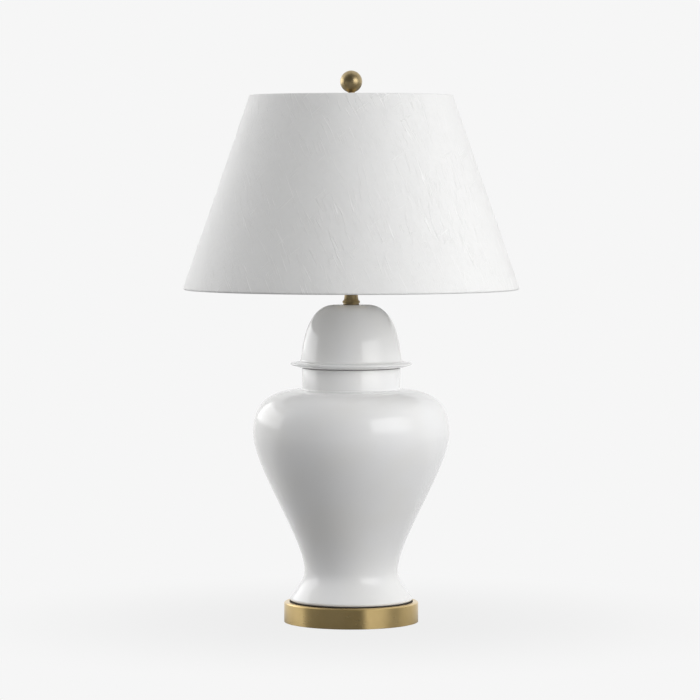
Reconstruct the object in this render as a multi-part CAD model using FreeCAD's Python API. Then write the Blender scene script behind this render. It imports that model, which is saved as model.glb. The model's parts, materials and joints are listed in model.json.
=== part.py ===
"""Ginger jar table lamp with a tapered drum shade on a harp.

Millimetres.  +Z runs up the lamp's axis, the front faces -Y and the origin is the centre of the felt's
underside.  Every piece is one solid (or one group of equal fasteners) in its own STEP file.
"""
import FreeCAD, Part
import os
from math import acos, asin, atan2, cos, degrees, hypot, pi, radians, sin, sqrt, tan

os.makedirs("parts", exist_ok=True)
Vec = FreeCAD.Vector

# ---------------------------------------------------------------- driving dimensions
# Clearances
thread_gap = 0.05        # radial, between a thread and its nut or tapped hole
running_gap = 0.05       # radial, between a turning shaft and its hole
slip_gap = 0.3           # radial, between parts that are dropped into each other

# Base: spun brass cap over a cast iron ring, closed by a board and a felt
seat_margin = 1.9        # level seat outside the jar's foot
cap_slope_w = 6.0        # from that seat out to the cap's edge
cap_wall = 1.2
cap_h = 27.2             # table to the cap's upper edge
cap_rise = 0.5           # how far the cap's seat stands above its edge
cap_bevel = 0.8
skirt_lift = 0.5         # the cap's lower edge stands this far off the table
felt_t = 1.5
board_t = 1.5
weight_rim = 9.0
weight_web = 7.0
weight_slope_h = 5.8     # height of the slope at the weight's upper edge, under the cap's own
foot_gasket_t = 1.3
foot_gasket_in_r = 60.0
foot_gasket_overhang = 0.6

# Cord inlet in the back of the cap
inlet_r = 3.6
inlet_wall = 1.4
inlet_flange_r = 6.8
inlet_flange_t = 1.6
inlet_tail = 3.0         # length of the bushing inside the cap's wall
inlet_z = 13.0

# Threaded pipe (1/8 IP) that holds the stack together, and its hardware
pipe_r = 4.85
pipe_bore_r = 3.3
pipe_tail = 2.5          # length that shows below the lower nut
flat_washer_r = 13.0
flat_washer_t = 1.2
lock_washer_r = 8.5
lock_washer_t = 1.5
lock_washer_split = 1.5
hex_nut_flats = 14.3
hex_nut_t = 4.0
pipe_hole_gap = 1.55     # radial, between the pipe and the holes in the ceramic

# Jar; each height is a step up from the one before, starting at the foot
foot_r = 83.6
foot_round = 2.9
foot_flare = 33.5        # degrees from level of the outward normal where the flare meets the foot's round
foot_rim = 15.0          # width of the ring that stands on the gasket
foot_recess = 3.0
floor_t = 7.0
waist_r = 63.8
waist_h = 41.0
belly_r = 134.0
belly_rise = 189.5
shoulder_rise = 58.0
neck_r = 67.1
neck_fillet = 2.1
jar_neck_h = 29.2
jar_wall = 6.0

# Lid, heights above its seat on the jar's rim
lid_gasket_t = 0.8
lid_gasket_inset = 0.6   # from the neck's outside in to the gasket
lid_gasket_lap = 0.3     # how far the gasket reaches past the rim's inner edge
lid_wall = 5.0
lid_h = 85.3
lid_flat_r = 12.0        # level spot under the brass neck
dome_r = 68.7
dome_h = 11.8            # where the dome meets the brim's cove
dome_lean = 8.1
cove_r = 3.4
brim_r = 83.0
brim_tip_h = 5.2
brim_tip_round = 1.5
brim_top_slope = 12.0    # degrees from level
brim_under_slope = 22.0  # degrees from level, where the underside meets the tip
lid_land = 1.0           # how far the lid's seat reaches past the jar's neck
collar_gap = 0.8
collar_wall = 5.0
collar_drop = 12.0

# Brass neck between the lid and the harp's saddle
neck_washer_t = 0.8
neck_washer_overhang = 0.2
brass_neck_h = 21.0
brass_seat_r = 10.7
brass_bead_r = 12.0
brass_waist_r = 9.2
brass_top_r = 11.5
brass_seat_h = 1.3
brass_bead_h = 4.0
brass_lip_h = 1.6
brass_cove = 1.1         # how far the neck flares out again above and below its waist

# Harp saddle, harp and ferrules
saddle_t = 1.5
saddle_w = 13.0
saddle_bend_r = 5.0
saddle_arm_h = 25.0      # saddle's underside to the shelf that the harp's legs stand on
tongue_w = 4.4
tongue_h = 15.0
leg_x = 28.0             # harp leg's distance from the lamp's axis
wire_r = 1.9
leg_gap = 0.1            # between a leg and the tongue beside it
leg_straight = 24.0
harp_h = 254.0           # saddle's underside to the seat for the shade
harp_half_w = 57.0
harp_foot_bend_r = 30.0
harp_slant = 9.2         # straight run between the foot's bend and the side's
harp_top_turn = 38.0     # degrees
harp_end_lap = 1.5       # how far the wire runs into the eye
ferrule_h = 14.0
ferrule_gap = 0.12       # radial, to the corners of the leg and tongue that it holds together
ferrule_wall = 1.0
eye_r = 7.5
eye_t = 2.4
stud_pin_r = 2.5
stud_head_r = 4.6
stud_head_t = 1.2
stud_seat_r = 9.5
stud_seat_t = 2.0
stud_r = 3.0             # 1/4-27 thread
stud_h = 13.0            # seat to the tip of the thread
stud_chamfer = 0.6
stud_head_room = 0.6     # radial, in the harp's wire around the stud's head

# Socket
saddle_nut_flats = 15.0
saddle_nut_t = 3.0
socket_hub_r = 7.5
socket_hub_h = 7.0
socket_flare_h = 9.0
socket_skirt_h = 7.0
socket_cap_r = 16.6
socket_cap_wall = 0.8
socket_cap_floor = 1.4
socket_shell_wall = 0.6
socket_shell_drop = 4.0  # how far the shell reaches into the cap's skirt
socket_shell_h = 46.0
shell_bead_lift = 1.0    # from the cap's rim up to the bead round the shell
shell_bead_h = 2.4
liner_wall = 0.7
sleeve_lift = 0.5        # sleeve's lower edge above the brass shell's
cap_liner_t = 0.8
cap_liner_gap = 1.0      # radial, to the pipe
socket_body_h = 18.0
socket_floor_t = 0.6
screw_shell_wall = 0.6
screw_shell_inset = 1.0  # from the brass shell's mouth down to the screw shell and sleeve
contact_hole_r = 6.0     # hole in the screw shell's floor
contact_reach = 3.6      # the tongue's length to each side of the axis
contact_w = 4.2
contact_t = 0.5
contact_rise = 2.2
contact_fold = 1.2       # length of the contact's fold
terminal_flat = 2.4      # depth of the flat cut for each terminal screw
terminal_land = 3.0      # height of full body above and below that flat
terminal_head_r = 2.8
terminal_head_t = 1.7
terminal_shank_r = 1.6
terminal_shank = 5.0
set_screw_r = 1.5
set_screw_stand = 2.0    # length of the set screw outside the hub
set_screw_slot_w = 0.5
set_screw_slot_d = 0.8
switch_z_above_body = 9.0
switch_shaft_r = 2.0
switch_shaft_depth = 6.5
switch_shaft_play = 0.5  # between the shaft's end and the bottom of its hole
switch_shaft_out = 15.0
switch_hole_gap = 1.6
knob_r = 6.5
knob_tip_r = 5.6
knob_l = 16.0
knob_hub_depth = 7.0
knob_flutes = 12
knob_flute_r = 0.9

# Bulb, E26 base and A19 outline
bulb_tip_gap = 0.3
bulb_tip_r = 4.6
bulb_tip_h = 1.4
bulb_tip_taper = 1.2
bulb_cone_h = 3.2
bulb_thread_gap = 0.35
bulb_thread_turns = 5
bulb_thread_pitch = 3.4
bulb_thread_depth = 0.7
bulb_cap_wall = 0.4
bulb_cap_collar = 3.0
bulb_h = 109.5
globe_r = 30.0
globe_wall = 1.2
housing_r = 25.5
housing_wall = 1.6
housing_neck_r = 14.5
light_board_t = 1.6
light_board_lean = 0.6   # how much smaller its lower face is, where the housing narrows

# Shade
shade_recess = 9.0       # hub's seat to the shade's upper plane
shade_h = 263.8
shade_bottom_r = 229.3   # the cover's outer line, carried on to the shade's lower plane
shade_top_r = 137.8
cover_t = 0.6
liner_t = 0.5
ring_r = 1.3
hem_lean = 14.0          # degrees between the turned-in hem and the wall
hem_flat = 4.0
hub_r = 12.5
hub_t = 3.4
hub_gap = 0.3
arm_r = 1.5
arm_count = 3
arm_bend_r = 12.0
arm_raised = 24.0        # length of each arm's raised end, to the ring
first_arm = 90.0         # degrees

# Finial
ball_r = 15.0
ball_rise = 23.7         # stem's underside to the ball's centre
stem_foot_r = 7.0
stem_foot_h = 2.0
stem_r = 4.8
spigot_r = 4.4
spigot_h = 6.0
spigot_gap = 0.2         # above the spigot, in the ball
stem_cove_h = 3.0        # from the stem's foot up to its straight part
stem_thread_spare = 1.0  # tapped depth past the stud's tip

# ---------------------------------------------------------------- heights and radii that follow
cap_seat_r = foot_r + seat_margin
cap_r = cap_seat_r + cap_slope_w
pipe_hole_r = pipe_r + pipe_hole_gap
board_z = felt_t
weight_z = board_z + board_t
cap_seat_z = cap_h + cap_rise
cap_under_z = cap_seat_z - cap_wall
skirt_in_r = cap_r - cap_wall
web_z = cap_under_z - weight_web
flat_washer_z = web_z - flat_washer_t
lock_washer_z = flat_washer_z - lock_washer_t
lower_nut_z = lock_washer_z - hex_nut_t

foot_z = cap_seat_z + foot_gasket_t
waist_z = foot_z + waist_h
belly_z = waist_z + belly_rise
shoulder_z = belly_z + shoulder_rise
rim_z = shoulder_z + jar_neck_h
jar_in_neck_r = neck_r - jar_wall

lid_seat_z = rim_z + lid_gasket_t
lid_top_z = lid_seat_z + lid_h
collar_r = jar_in_neck_r - collar_gap

brass_neck_z = lid_top_z + neck_washer_t
saddle_z = brass_neck_z + brass_neck_h
saddle_nut_z = saddle_z + saddle_t
socket_cap_z = saddle_nut_z + saddle_nut_t
socket_skirt_z = socket_cap_z + socket_hub_h + socket_flare_h
socket_rim_z = socket_skirt_z + socket_skirt_h
pipe_top_z = socket_cap_z + socket_hub_h

shell_out_r = socket_cap_r - socket_cap_wall - thread_gap
shell_in_r = shell_out_r - socket_shell_wall
shell_z = socket_rim_z - socket_shell_drop
shell_top_z = shell_z + socket_shell_h
sleeve_out_r = shell_in_r - thread_gap
sleeve_in_r = sleeve_out_r - liner_wall
body_r = sleeve_in_r - 2 * thread_gap
body_z = socket_rim_z
body_top_z = body_z + socket_body_h
screw_shell_in_r = body_r - screw_shell_wall
screw_shell_top_z = shell_top_z - screw_shell_inset
switch_z = body_z + switch_z_above_body

leg_z = saddle_z + saddle_arm_h
tongue_x = leg_x + wire_r + leg_gap
ferrule_x = (leg_x - wire_r + tongue_x + saddle_t) / 2
ferrule_bore_r = hypot(tongue_x + saddle_t - ferrule_x, tongue_w / 2) + ferrule_gap
harp_seat_z = saddle_z + harp_h
eye_top_z = harp_seat_z - stud_seat_t
harp_top_z = eye_top_z - eye_t / 2

bulb_tip_z = body_top_z + contact_rise + contact_t + bulb_tip_gap
bulb_cap_z = bulb_tip_z + bulb_tip_h + bulb_cone_h
bulb_crest_r = screw_shell_in_r - bulb_thread_gap
bulb_cap_top_z = bulb_cap_z + bulb_thread_turns * bulb_thread_pitch + bulb_cap_collar
globe_z = bulb_tip_z + bulb_h - globe_r
globe_mouth_z = globe_z - sqrt(globe_r ** 2 - housing_r ** 2)

shade_bottom_z = harp_seat_z + shade_recess - shade_h
shade_lean = atan2(shade_bottom_r - shade_top_r, shade_h)
roll_in_r = ring_r + slip_gap
roll_out_r = roll_in_r + cover_t
hub_z = harp_seat_z
finial_z = hub_z + hub_t
ball_z = finial_z + ball_rise
stem_top_z = ball_z - sqrt(ball_r ** 2 - stem_r ** 2)


# ---------------------------------------------------------------- drawing helpers
class Section:
    """A closed half-section drawn point by point, as (distance from the axis, height)."""

    def __init__(self, r, z):
        self.first = self.last = Vec(r, 0, z)
        self.edges = []

    def to(self, r, z):
        end = Vec(r, 0, z)
        self.edges.append(Part.makeLine(self.last, end))
        self.last = end
        return self

    def arc(self, mid, end):
        self.edges.append(Part.Arc(self.last, Vec(mid[0], 0, mid[1]), Vec(end[0], 0, end[1])).toShape())
        self.last = Vec(end[0], 0, end[1])
        return self

    def round(self, centre, radius, start, stop):
        """An arc about a centre, from one angle to another, in degrees from level."""
        def at(angle):
            return (centre[0] + radius * cos(radians(angle)), centre[1] + radius * sin(radians(angle)))
        if (self.last - Vec(at(start)[0], 0, at(start)[1])).Length > 1e-6:
            self.to(*at(start))
        return self.arc(at((start + stop) / 2), at(stop))

    def curve(self, handle_1, handle_2, end):
        """A cubic curve that leaves towards the first handle and arrives from the second."""
        poles = [self.last] + [Vec(r, 0, z) for r, z in (handle_1, handle_2, end)]
        bezier = Part.BezierCurve()
        bezier.setPoles(poles)
        self.edges.append(bezier.toShape())
        self.last = poles[-1]
        return self

    def face(self):
        if (self.last - self.first).Length > 1e-6:
            self.to(self.first.x, self.first.z)
        return Part.Face(Part.Wire(self.edges))

    def spin(self):
        """The turned solid."""
        return self.face().revolve(Vec(0, 0, 0), Vec(0, 0, 1), 360)

    def plate(self, width):
        """The section drawn in the X-Z plane, made as thick as width along Y."""
        shape = self.face()
        shape.translate(Vec(0, -width / 2, 0))
        return shape.extrude(Vec(0, width, 0))


def rod(radius, length, base, direction=Vec(0, 0, 1)):
    return Part.makeCylinder(radius, length, base, direction)


def ring(out_r, in_r, z, thickness):
    """A flat washer about the lamp's axis."""
    base = Vec(0, 0, z)
    return rod(out_r, thickness, base).cut(rod(in_r, thickness, base))


def hex_nut(flats, thickness, bore_r, z):
    corner = flats / sqrt(3)
    points = [Vec(corner * cos(i * pi / 3), corner * sin(i * pi / 3), z) for i in range(7)]
    body = Part.Face(Part.makePolygon(points)).extrude(Vec(0, 0, thickness))
    return body.cut(rod(bore_r, thickness, Vec(0, 0, z)))


def bent_wire(edges, radius):
    """A round wire along straight runs and tangent arcs."""
    path = Part.Wire(edges)
    start = edges[0].valueAt(edges[0].FirstParameter)
    along = edges[0].tangentAt(edges[0].FirstParameter)
    profile = Part.Wire(Part.makeCircle(radius, start, along))
    tube = path.makePipeShell([profile], True, True)
    print("wire volume over section times length: %.4f" % (tube.Volume / (pi * radius ** 2 * path.Length)))
    return tube


def save(name, shape):
    """Writes one node; a shape that holds a single solid is written as that solid."""
    if len(shape.Solids) == 1:
        shape = shape.Solids[0]
    assert shape.isValid() and shape.Volume > 0, name
    shape.exportStep("parts/" + name + ".step")
    print("%-22s solids %d  volume %9.1f mm3" % (name, len(shape.Solids), shape.Volume))


# ---------------------------------------------------------------- base
def inlet_hole(radius):
    """The way for the cord, from the lamp's axis out through the back."""
    return rod(radius, cap_r + 2 * inlet_flange_t, Vec(0, 0, inlet_z), Vec(0, 1, 0))


def make_base():
    cap = Section(cap_r, skirt_lift)
    cap.to(cap_r, cap_h - cap_bevel).to(cap_r - cap_bevel, cap_h).to(cap_seat_r, cap_seat_z)
    cap.to(pipe_r + thread_gap, cap_seat_z).to(pipe_r + thread_gap, cap_under_z)
    cap.to(cap_seat_r - cap_rise / 2, cap_under_z).to(skirt_in_r, cap_h - cap_bevel - cap_wall / 2)
    cap.to(skirt_in_r, skirt_lift)
    bushing_r = inlet_r + inlet_wall
    save("base_cap", cap.spin().cut(inlet_hole(bushing_r + thread_gap)))

    weight_r = skirt_in_r - slip_gap
    web_top_r = cap_seat_r - cap_rise
    weight = Section(pipe_r + slip_gap, web_z).to(weight_r - weight_rim, web_z)
    weight.to(weight_r - weight_rim, weight_z).to(weight_r, weight_z)
    weight.to(weight_r, cap_under_z - weight_slope_h).to(web_top_r, cap_under_z)
    weight.to(pipe_r + slip_gap, cap_under_z)
    notch_r = bushing_r + slip_gap
    save("base_weight", weight.spin().cut(inlet_hole(notch_r)))

    save("base_board", rod(weight_r, board_t, Vec(0, 0, board_z)))
    save("felt_pad", rod(weight_r, felt_t, Vec(0, 0, 0)))

    wall_y = sqrt(cap_r ** 2 - inlet_flange_r ** 2)
    tail_y = skirt_in_r - inlet_tail
    bushing = rod(bushing_r, cap_r - tail_y, Vec(0, tail_y, inlet_z), Vec(0, 1, 0))
    head = rod(inlet_flange_r, cap_r - wall_y + inlet_flange_t, Vec(0, wall_y, inlet_z), Vec(0, 1, 0))
    head = head.cut(rod(cap_r + thread_gap, cap_h, Vec(0, 0, 0)))
    bushing = bushing.fuse(head).removeSplitter()
    save("cord_bushing", bushing.cut(inlet_hole(inlet_r)))

    save("foot_gasket", ring(foot_r + foot_gasket_overhang, foot_gasket_in_r, cap_seat_z, foot_gasket_t))


# ---------------------------------------------------------------- pipe and its hardware
def make_pipe():
    thread_r = pipe_r + thread_gap
    base_z = lower_nut_z - pipe_tail
    save("lamp_pipe", ring(pipe_r, pipe_bore_r, base_z, pipe_top_z - base_z))
    save("pipe_flat_washer", ring(flat_washer_r, pipe_r + slip_gap, flat_washer_z, flat_washer_t))
    washer = ring(lock_washer_r, thread_r, lock_washer_z, lock_washer_t)
    split = Part.makeBox(lock_washer_r, lock_washer_split, lock_washer_t,
                         Vec(0, -lock_washer_split / 2, lock_washer_z))
    save("pipe_lock_washer", washer.cut(split))
    save("pipe_hex_nut", hex_nut(hex_nut_flats, hex_nut_t, thread_r, lower_nut_z))
    save("saddle_nut", hex_nut(saddle_nut_flats, saddle_nut_t, thread_r, saddle_nut_z))


# ---------------------------------------------------------------- ceramic
def make_jar():
    # Outside: rim, neck, shoulder, belly, waist and the flare down to the foot's round.
    round_r, round_z = foot_r - foot_round, foot_z + foot_round
    flare = radians(foot_flare)
    flare_r = round_r + foot_round * cos(flare)
    flare_z = round_z + foot_round * sin(flare)
    flank = belly_z - waist_z
    drop = waist_z - flare_z
    flare_pull = 0.42 * drop
    start_r = neck_r + neck_fillet
    jar = Section(jar_in_neck_r, rim_z).to(neck_r, rim_z).to(neck_r, shoulder_z + neck_fillet)
    jar.round((start_r, shoulder_z + neck_fillet), neck_fillet, 180, 270)
    jar.curve((start_r + 0.32 * (belly_r - start_r), shoulder_z),
              (belly_r, belly_z + 0.93 * (shoulder_z - belly_z)), (belly_r, belly_z))
    jar.curve((belly_r, belly_z - 0.254 * flank), (waist_r, waist_z + 0.23 * flank), (waist_r, waist_z))
    jar.curve((waist_r, waist_z - 0.347 * drop),
              (flare_r - flare_pull * sin(flare), flare_z + flare_pull * cos(flare)), (flare_r, flare_z))
    jar.round((round_r, round_z), foot_round, foot_flare, -90)
    # Underside and the hollow, one wall further in.
    jar.to(round_r - foot_rim, foot_z).to(round_r - foot_rim - foot_recess, foot_z + foot_recess)
    jar.to(pipe_hole_r, foot_z + foot_recess).to(pipe_hole_r, foot_z + foot_recess + floor_t)
    in_waist_r, in_belly_r = waist_r - jar_wall, belly_r - jar_wall
    jar.to(in_waist_r, foot_z + foot_recess + floor_t).to(in_waist_r, waist_z)
    jar.curve((in_waist_r, waist_z + 0.23 * flank), (in_belly_r, belly_z - 0.254 * flank),
              (in_belly_r, belly_z))
    in_shoulder_z = shoulder_z - jar_wall
    jar.curve((in_belly_r, belly_z + 0.93 * (in_shoulder_z - belly_z)),
              (jar_in_neck_r + 0.32 * (in_belly_r - jar_in_neck_r), in_shoulder_z),
              (jar_in_neck_r, in_shoulder_z))
    save("jar_body", jar.spin())
    save("lid_gasket",
         ring(neck_r - lid_gasket_inset, jar_in_neck_r - lid_gasket_lap, rim_z, lid_gasket_t))


def make_lid():
    dome_z = lid_seat_z + dome_h
    tip = (brim_r - brim_tip_round, lid_seat_z + brim_tip_h)
    rise = lid_top_z - dome_z
    cove_z = dome_z - cove_r
    lid = Section(pipe_hole_r, lid_top_z).to(lid_flat_r, lid_top_z)
    lid.curve((lid_flat_r + 0.21 * (dome_r - lid_flat_r), lid_top_z),
              (dome_r - dome_lean, dome_z + 1.12 * rise), (dome_r, dome_z))
    lid.arc((dome_r + 0.3 * cove_r, dome_z - 0.72 * cove_r), (dome_r + cove_r, cove_z))
    over, under = radians(brim_top_slope), radians(brim_under_slope)
    lid.to(tip[0] + brim_tip_round * sin(over), tip[1] + brim_tip_round * cos(over))
    lid.arc((brim_r, tip[1]), (tip[0] + brim_tip_round * sin(under), tip[1] - brim_tip_round * cos(under)))
    lid.arc((neck_r + 0.55 * (brim_r - neck_r), lid_seat_z + 0.3 * brim_tip_h),
            (neck_r + lid_land, lid_seat_z))
    lid.to(collar_r, lid_seat_z).to(collar_r, lid_seat_z - collar_drop)
    lid.to(collar_r - collar_wall, lid_seat_z - collar_drop).to(collar_r - collar_wall, lid_seat_z + lid_wall)
    in_dome_r, in_dome_z, in_top_z = dome_r - lid_wall, dome_z + lid_wall, lid_top_z - lid_wall
    lid.to(in_dome_r, in_dome_z)
    lid.curve((in_dome_r - 0.9 * dome_lean, in_dome_z + 1.05 * (in_top_z - in_dome_z)),
              (lid_flat_r + 0.21 * (in_dome_r - lid_flat_r), in_top_z), (lid_flat_r, in_top_z))
    lid.to(pipe_hole_r, in_top_z)
    save("jar_lid", lid.spin())


def make_brass_neck():
    bore_r = pipe_r + slip_gap
    save("neck_washer", ring(brass_seat_r + neck_washer_overhang, bore_r, lid_top_z, neck_washer_t))
    bead_z = brass_neck_z + brass_seat_h
    bead_top = bead_z + brass_bead_h
    lip_z = saddle_z - brass_lip_h
    neck = Section(bore_r, brass_neck_z).to(brass_seat_r, brass_neck_z)
    neck.to(brass_seat_r, bead_z)
    neck.arc((brass_bead_r, bead_z + brass_bead_h / 2), (brass_waist_r + brass_cove, bead_top))
    neck.arc((brass_waist_r, (bead_top + lip_z) / 2), (brass_waist_r + brass_cove, lip_z))
    neck.to(brass_top_r, lip_z).to(brass_top_r, saddle_z).to(bore_r, saddle_z)
    save("brass_neck", neck.spin())


# ---------------------------------------------------------------- harp
def make_saddle():
    shelf_z = leg_z - saddle_t
    arm_in = leg_x - saddle_t / 2
    arm_out = leg_x + saddle_t / 2
    bend_in = saddle_bend_r - saddle_t
    tongue_out = tongue_x + saddle_t
    half = Section(0, saddle_z).to(arm_out - saddle_bend_r, saddle_z)
    half.round((arm_out - saddle_bend_r, saddle_z + saddle_bend_r), saddle_bend_r, -90, 0)
    half.to(arm_out, shelf_z).to(tongue_out, shelf_z).to(tongue_out, leg_z)
    half.to(leg_x - wire_r, leg_z).to(leg_x - wire_r, shelf_z).to(arm_in, shelf_z)
    half.round((arm_in - bend_in, saddle_z + saddle_t + bend_in), bend_in, 0, -90)
    half.to(0, saddle_z + saddle_t)
    strip = half.plate(saddle_w)
    tongue = Part.makeBox(saddle_t, tongue_w, tongue_h + saddle_t, Vec(tongue_x, -tongue_w / 2, shelf_z))
    side = strip.fuse(tongue)
    both = side.fuse(side.mirror(Vec(0, 0, 0), Vec(1, 0, 0))).removeSplitter()
    hole = rod(pipe_r + thread_gap, 3 * saddle_t, Vec(0, 0, saddle_z - saddle_t))
    save("harp_saddle", both.cut(hole))


def harp_fit(turn):
    """Side radius, top radius and slanted run that a turn of the foot's bend leads to, at the harp's size."""
    top = radians(harp_top_turn)
    end_x = eye_r - harp_end_lap
    foot_x = leg_x + harp_foot_bend_r * (1 - cos(turn))
    foot_rise = harp_foot_bend_r * sin(turn)
    reach = (harp_top_z - leg_z - leg_straight - foot_rise - (harp_half_w - foot_x) / tan(turn)
             - (harp_half_w - end_x) * (1 - sin(top)) / cos(top))
    per_radius = (sin(turn) + sin(top) - (1 - cos(turn)) / tan(turn)
                  - (1 - cos(top)) * (1 - sin(top)) / cos(top))
    side_r = reach / per_radius
    top_r = (harp_half_w - end_x - side_r * (1 - cos(top))) / cos(top)
    run = (harp_half_w - side_r * (1 - cos(turn)) - foot_x) / sin(turn)
    return side_r, top_r, run


def harp_half_path():
    """Leg, outward bend, long side, inward bend and top of the harp's right half, all tangent."""
    low, high = radians(5), radians(60)
    while high - low > 1e-9:     # a smaller turn leaves a longer slanted run
        turn = (low + high) / 2
        low, high = (turn, high) if harp_fit(turn)[2] > harp_slant else (low, turn)
    side_r, top_r, run = harp_fit(turn)
    top = radians(harp_top_turn)
    print("harp turn %.2f degrees, side radius %.1f, top radius %.1f, slanted run %.2f"
          % (degrees(turn), side_r, top_r, run))

    edges = []
    here = [Vec(leg_x, 0, leg_z)]

    def straight(end):
        edges.append(Part.LineSegment(here[0], end).toShape())
        here[0] = end

    def bend(centre, radius, start, stop):
        """Angles in radians from +X towards +Z."""
        mid, end = [centre + Vec(radius * cos(a), 0, radius * sin(a)) for a in ((start + stop) / 2, stop)]
        edges.append(Part.Arc(here[0], mid, end).toShape())
        here[0] = end

    bend_z = leg_z + leg_straight
    straight(Vec(leg_x, 0, bend_z))
    bend(Vec(leg_x + harp_foot_bend_r, 0, bend_z), harp_foot_bend_r, pi, pi - turn)
    straight(here[0] + Vec(sin(turn), 0, cos(turn)) * run)
    side_centre = here[0] - Vec(cos(turn), 0, -sin(turn)) * side_r
    bend(side_centre, side_r, -turn, top)
    top_centre = here[0] - Vec(cos(top), 0, sin(top)) * top_r
    bend(top_centre, top_r, top, pi / 2)
    return edges


def make_harp():
    side = bent_wire(harp_half_path(), wire_r)
    eye = rod(eye_r, eye_t, Vec(0, 0, eye_top_z - eye_t))
    trim = Part.makeBox(4 * eye_r, 4 * eye_r, 2 * wire_r, Vec(-2 * eye_r, -2 * eye_r, eye_top_z))
    loop = side.fuse([side.mirror(Vec(0, 0, 0), Vec(1, 0, 0)), eye])
    under = rod(stud_head_r + stud_head_room, 2 * wire_r, Vec(0, 0, eye_top_z - eye_t - 2 * wire_r))
    loop = loop.cut(under).cut(trim)
    save("harp_loop", loop.cut(rod(stud_pin_r + running_gap, 2 * eye_t, Vec(0, 0, eye_top_z - 1.5 * eye_t))))

    for name, side_sign in (("harp_ferrule_left", -1), ("harp_ferrule_right", 1)):
        base = Vec(side_sign * ferrule_x, 0, leg_z)
        sleeve = rod(ferrule_bore_r + ferrule_wall, ferrule_h, base)
        save(name, sleeve.cut(rod(ferrule_bore_r, ferrule_h, base)))

    head_z = eye_top_z - eye_t - 2 * running_gap - stud_head_t
    stud = Section(0, head_z).to(stud_head_r, head_z).to(stud_head_r, head_z + stud_head_t)
    stud.to(stud_pin_r, head_z + stud_head_t).to(stud_pin_r, eye_top_z).to(stud_seat_r, eye_top_z)
    stud.to(stud_seat_r, harp_seat_z).to(stud_r, harp_seat_z).to(stud_r, harp_seat_z + stud_h - stud_chamfer)
    stud.to(stud_r - stud_chamfer, harp_seat_z + stud_h).to(0, harp_seat_z + stud_h)
    save("harp_stud", stud.spin())


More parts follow.
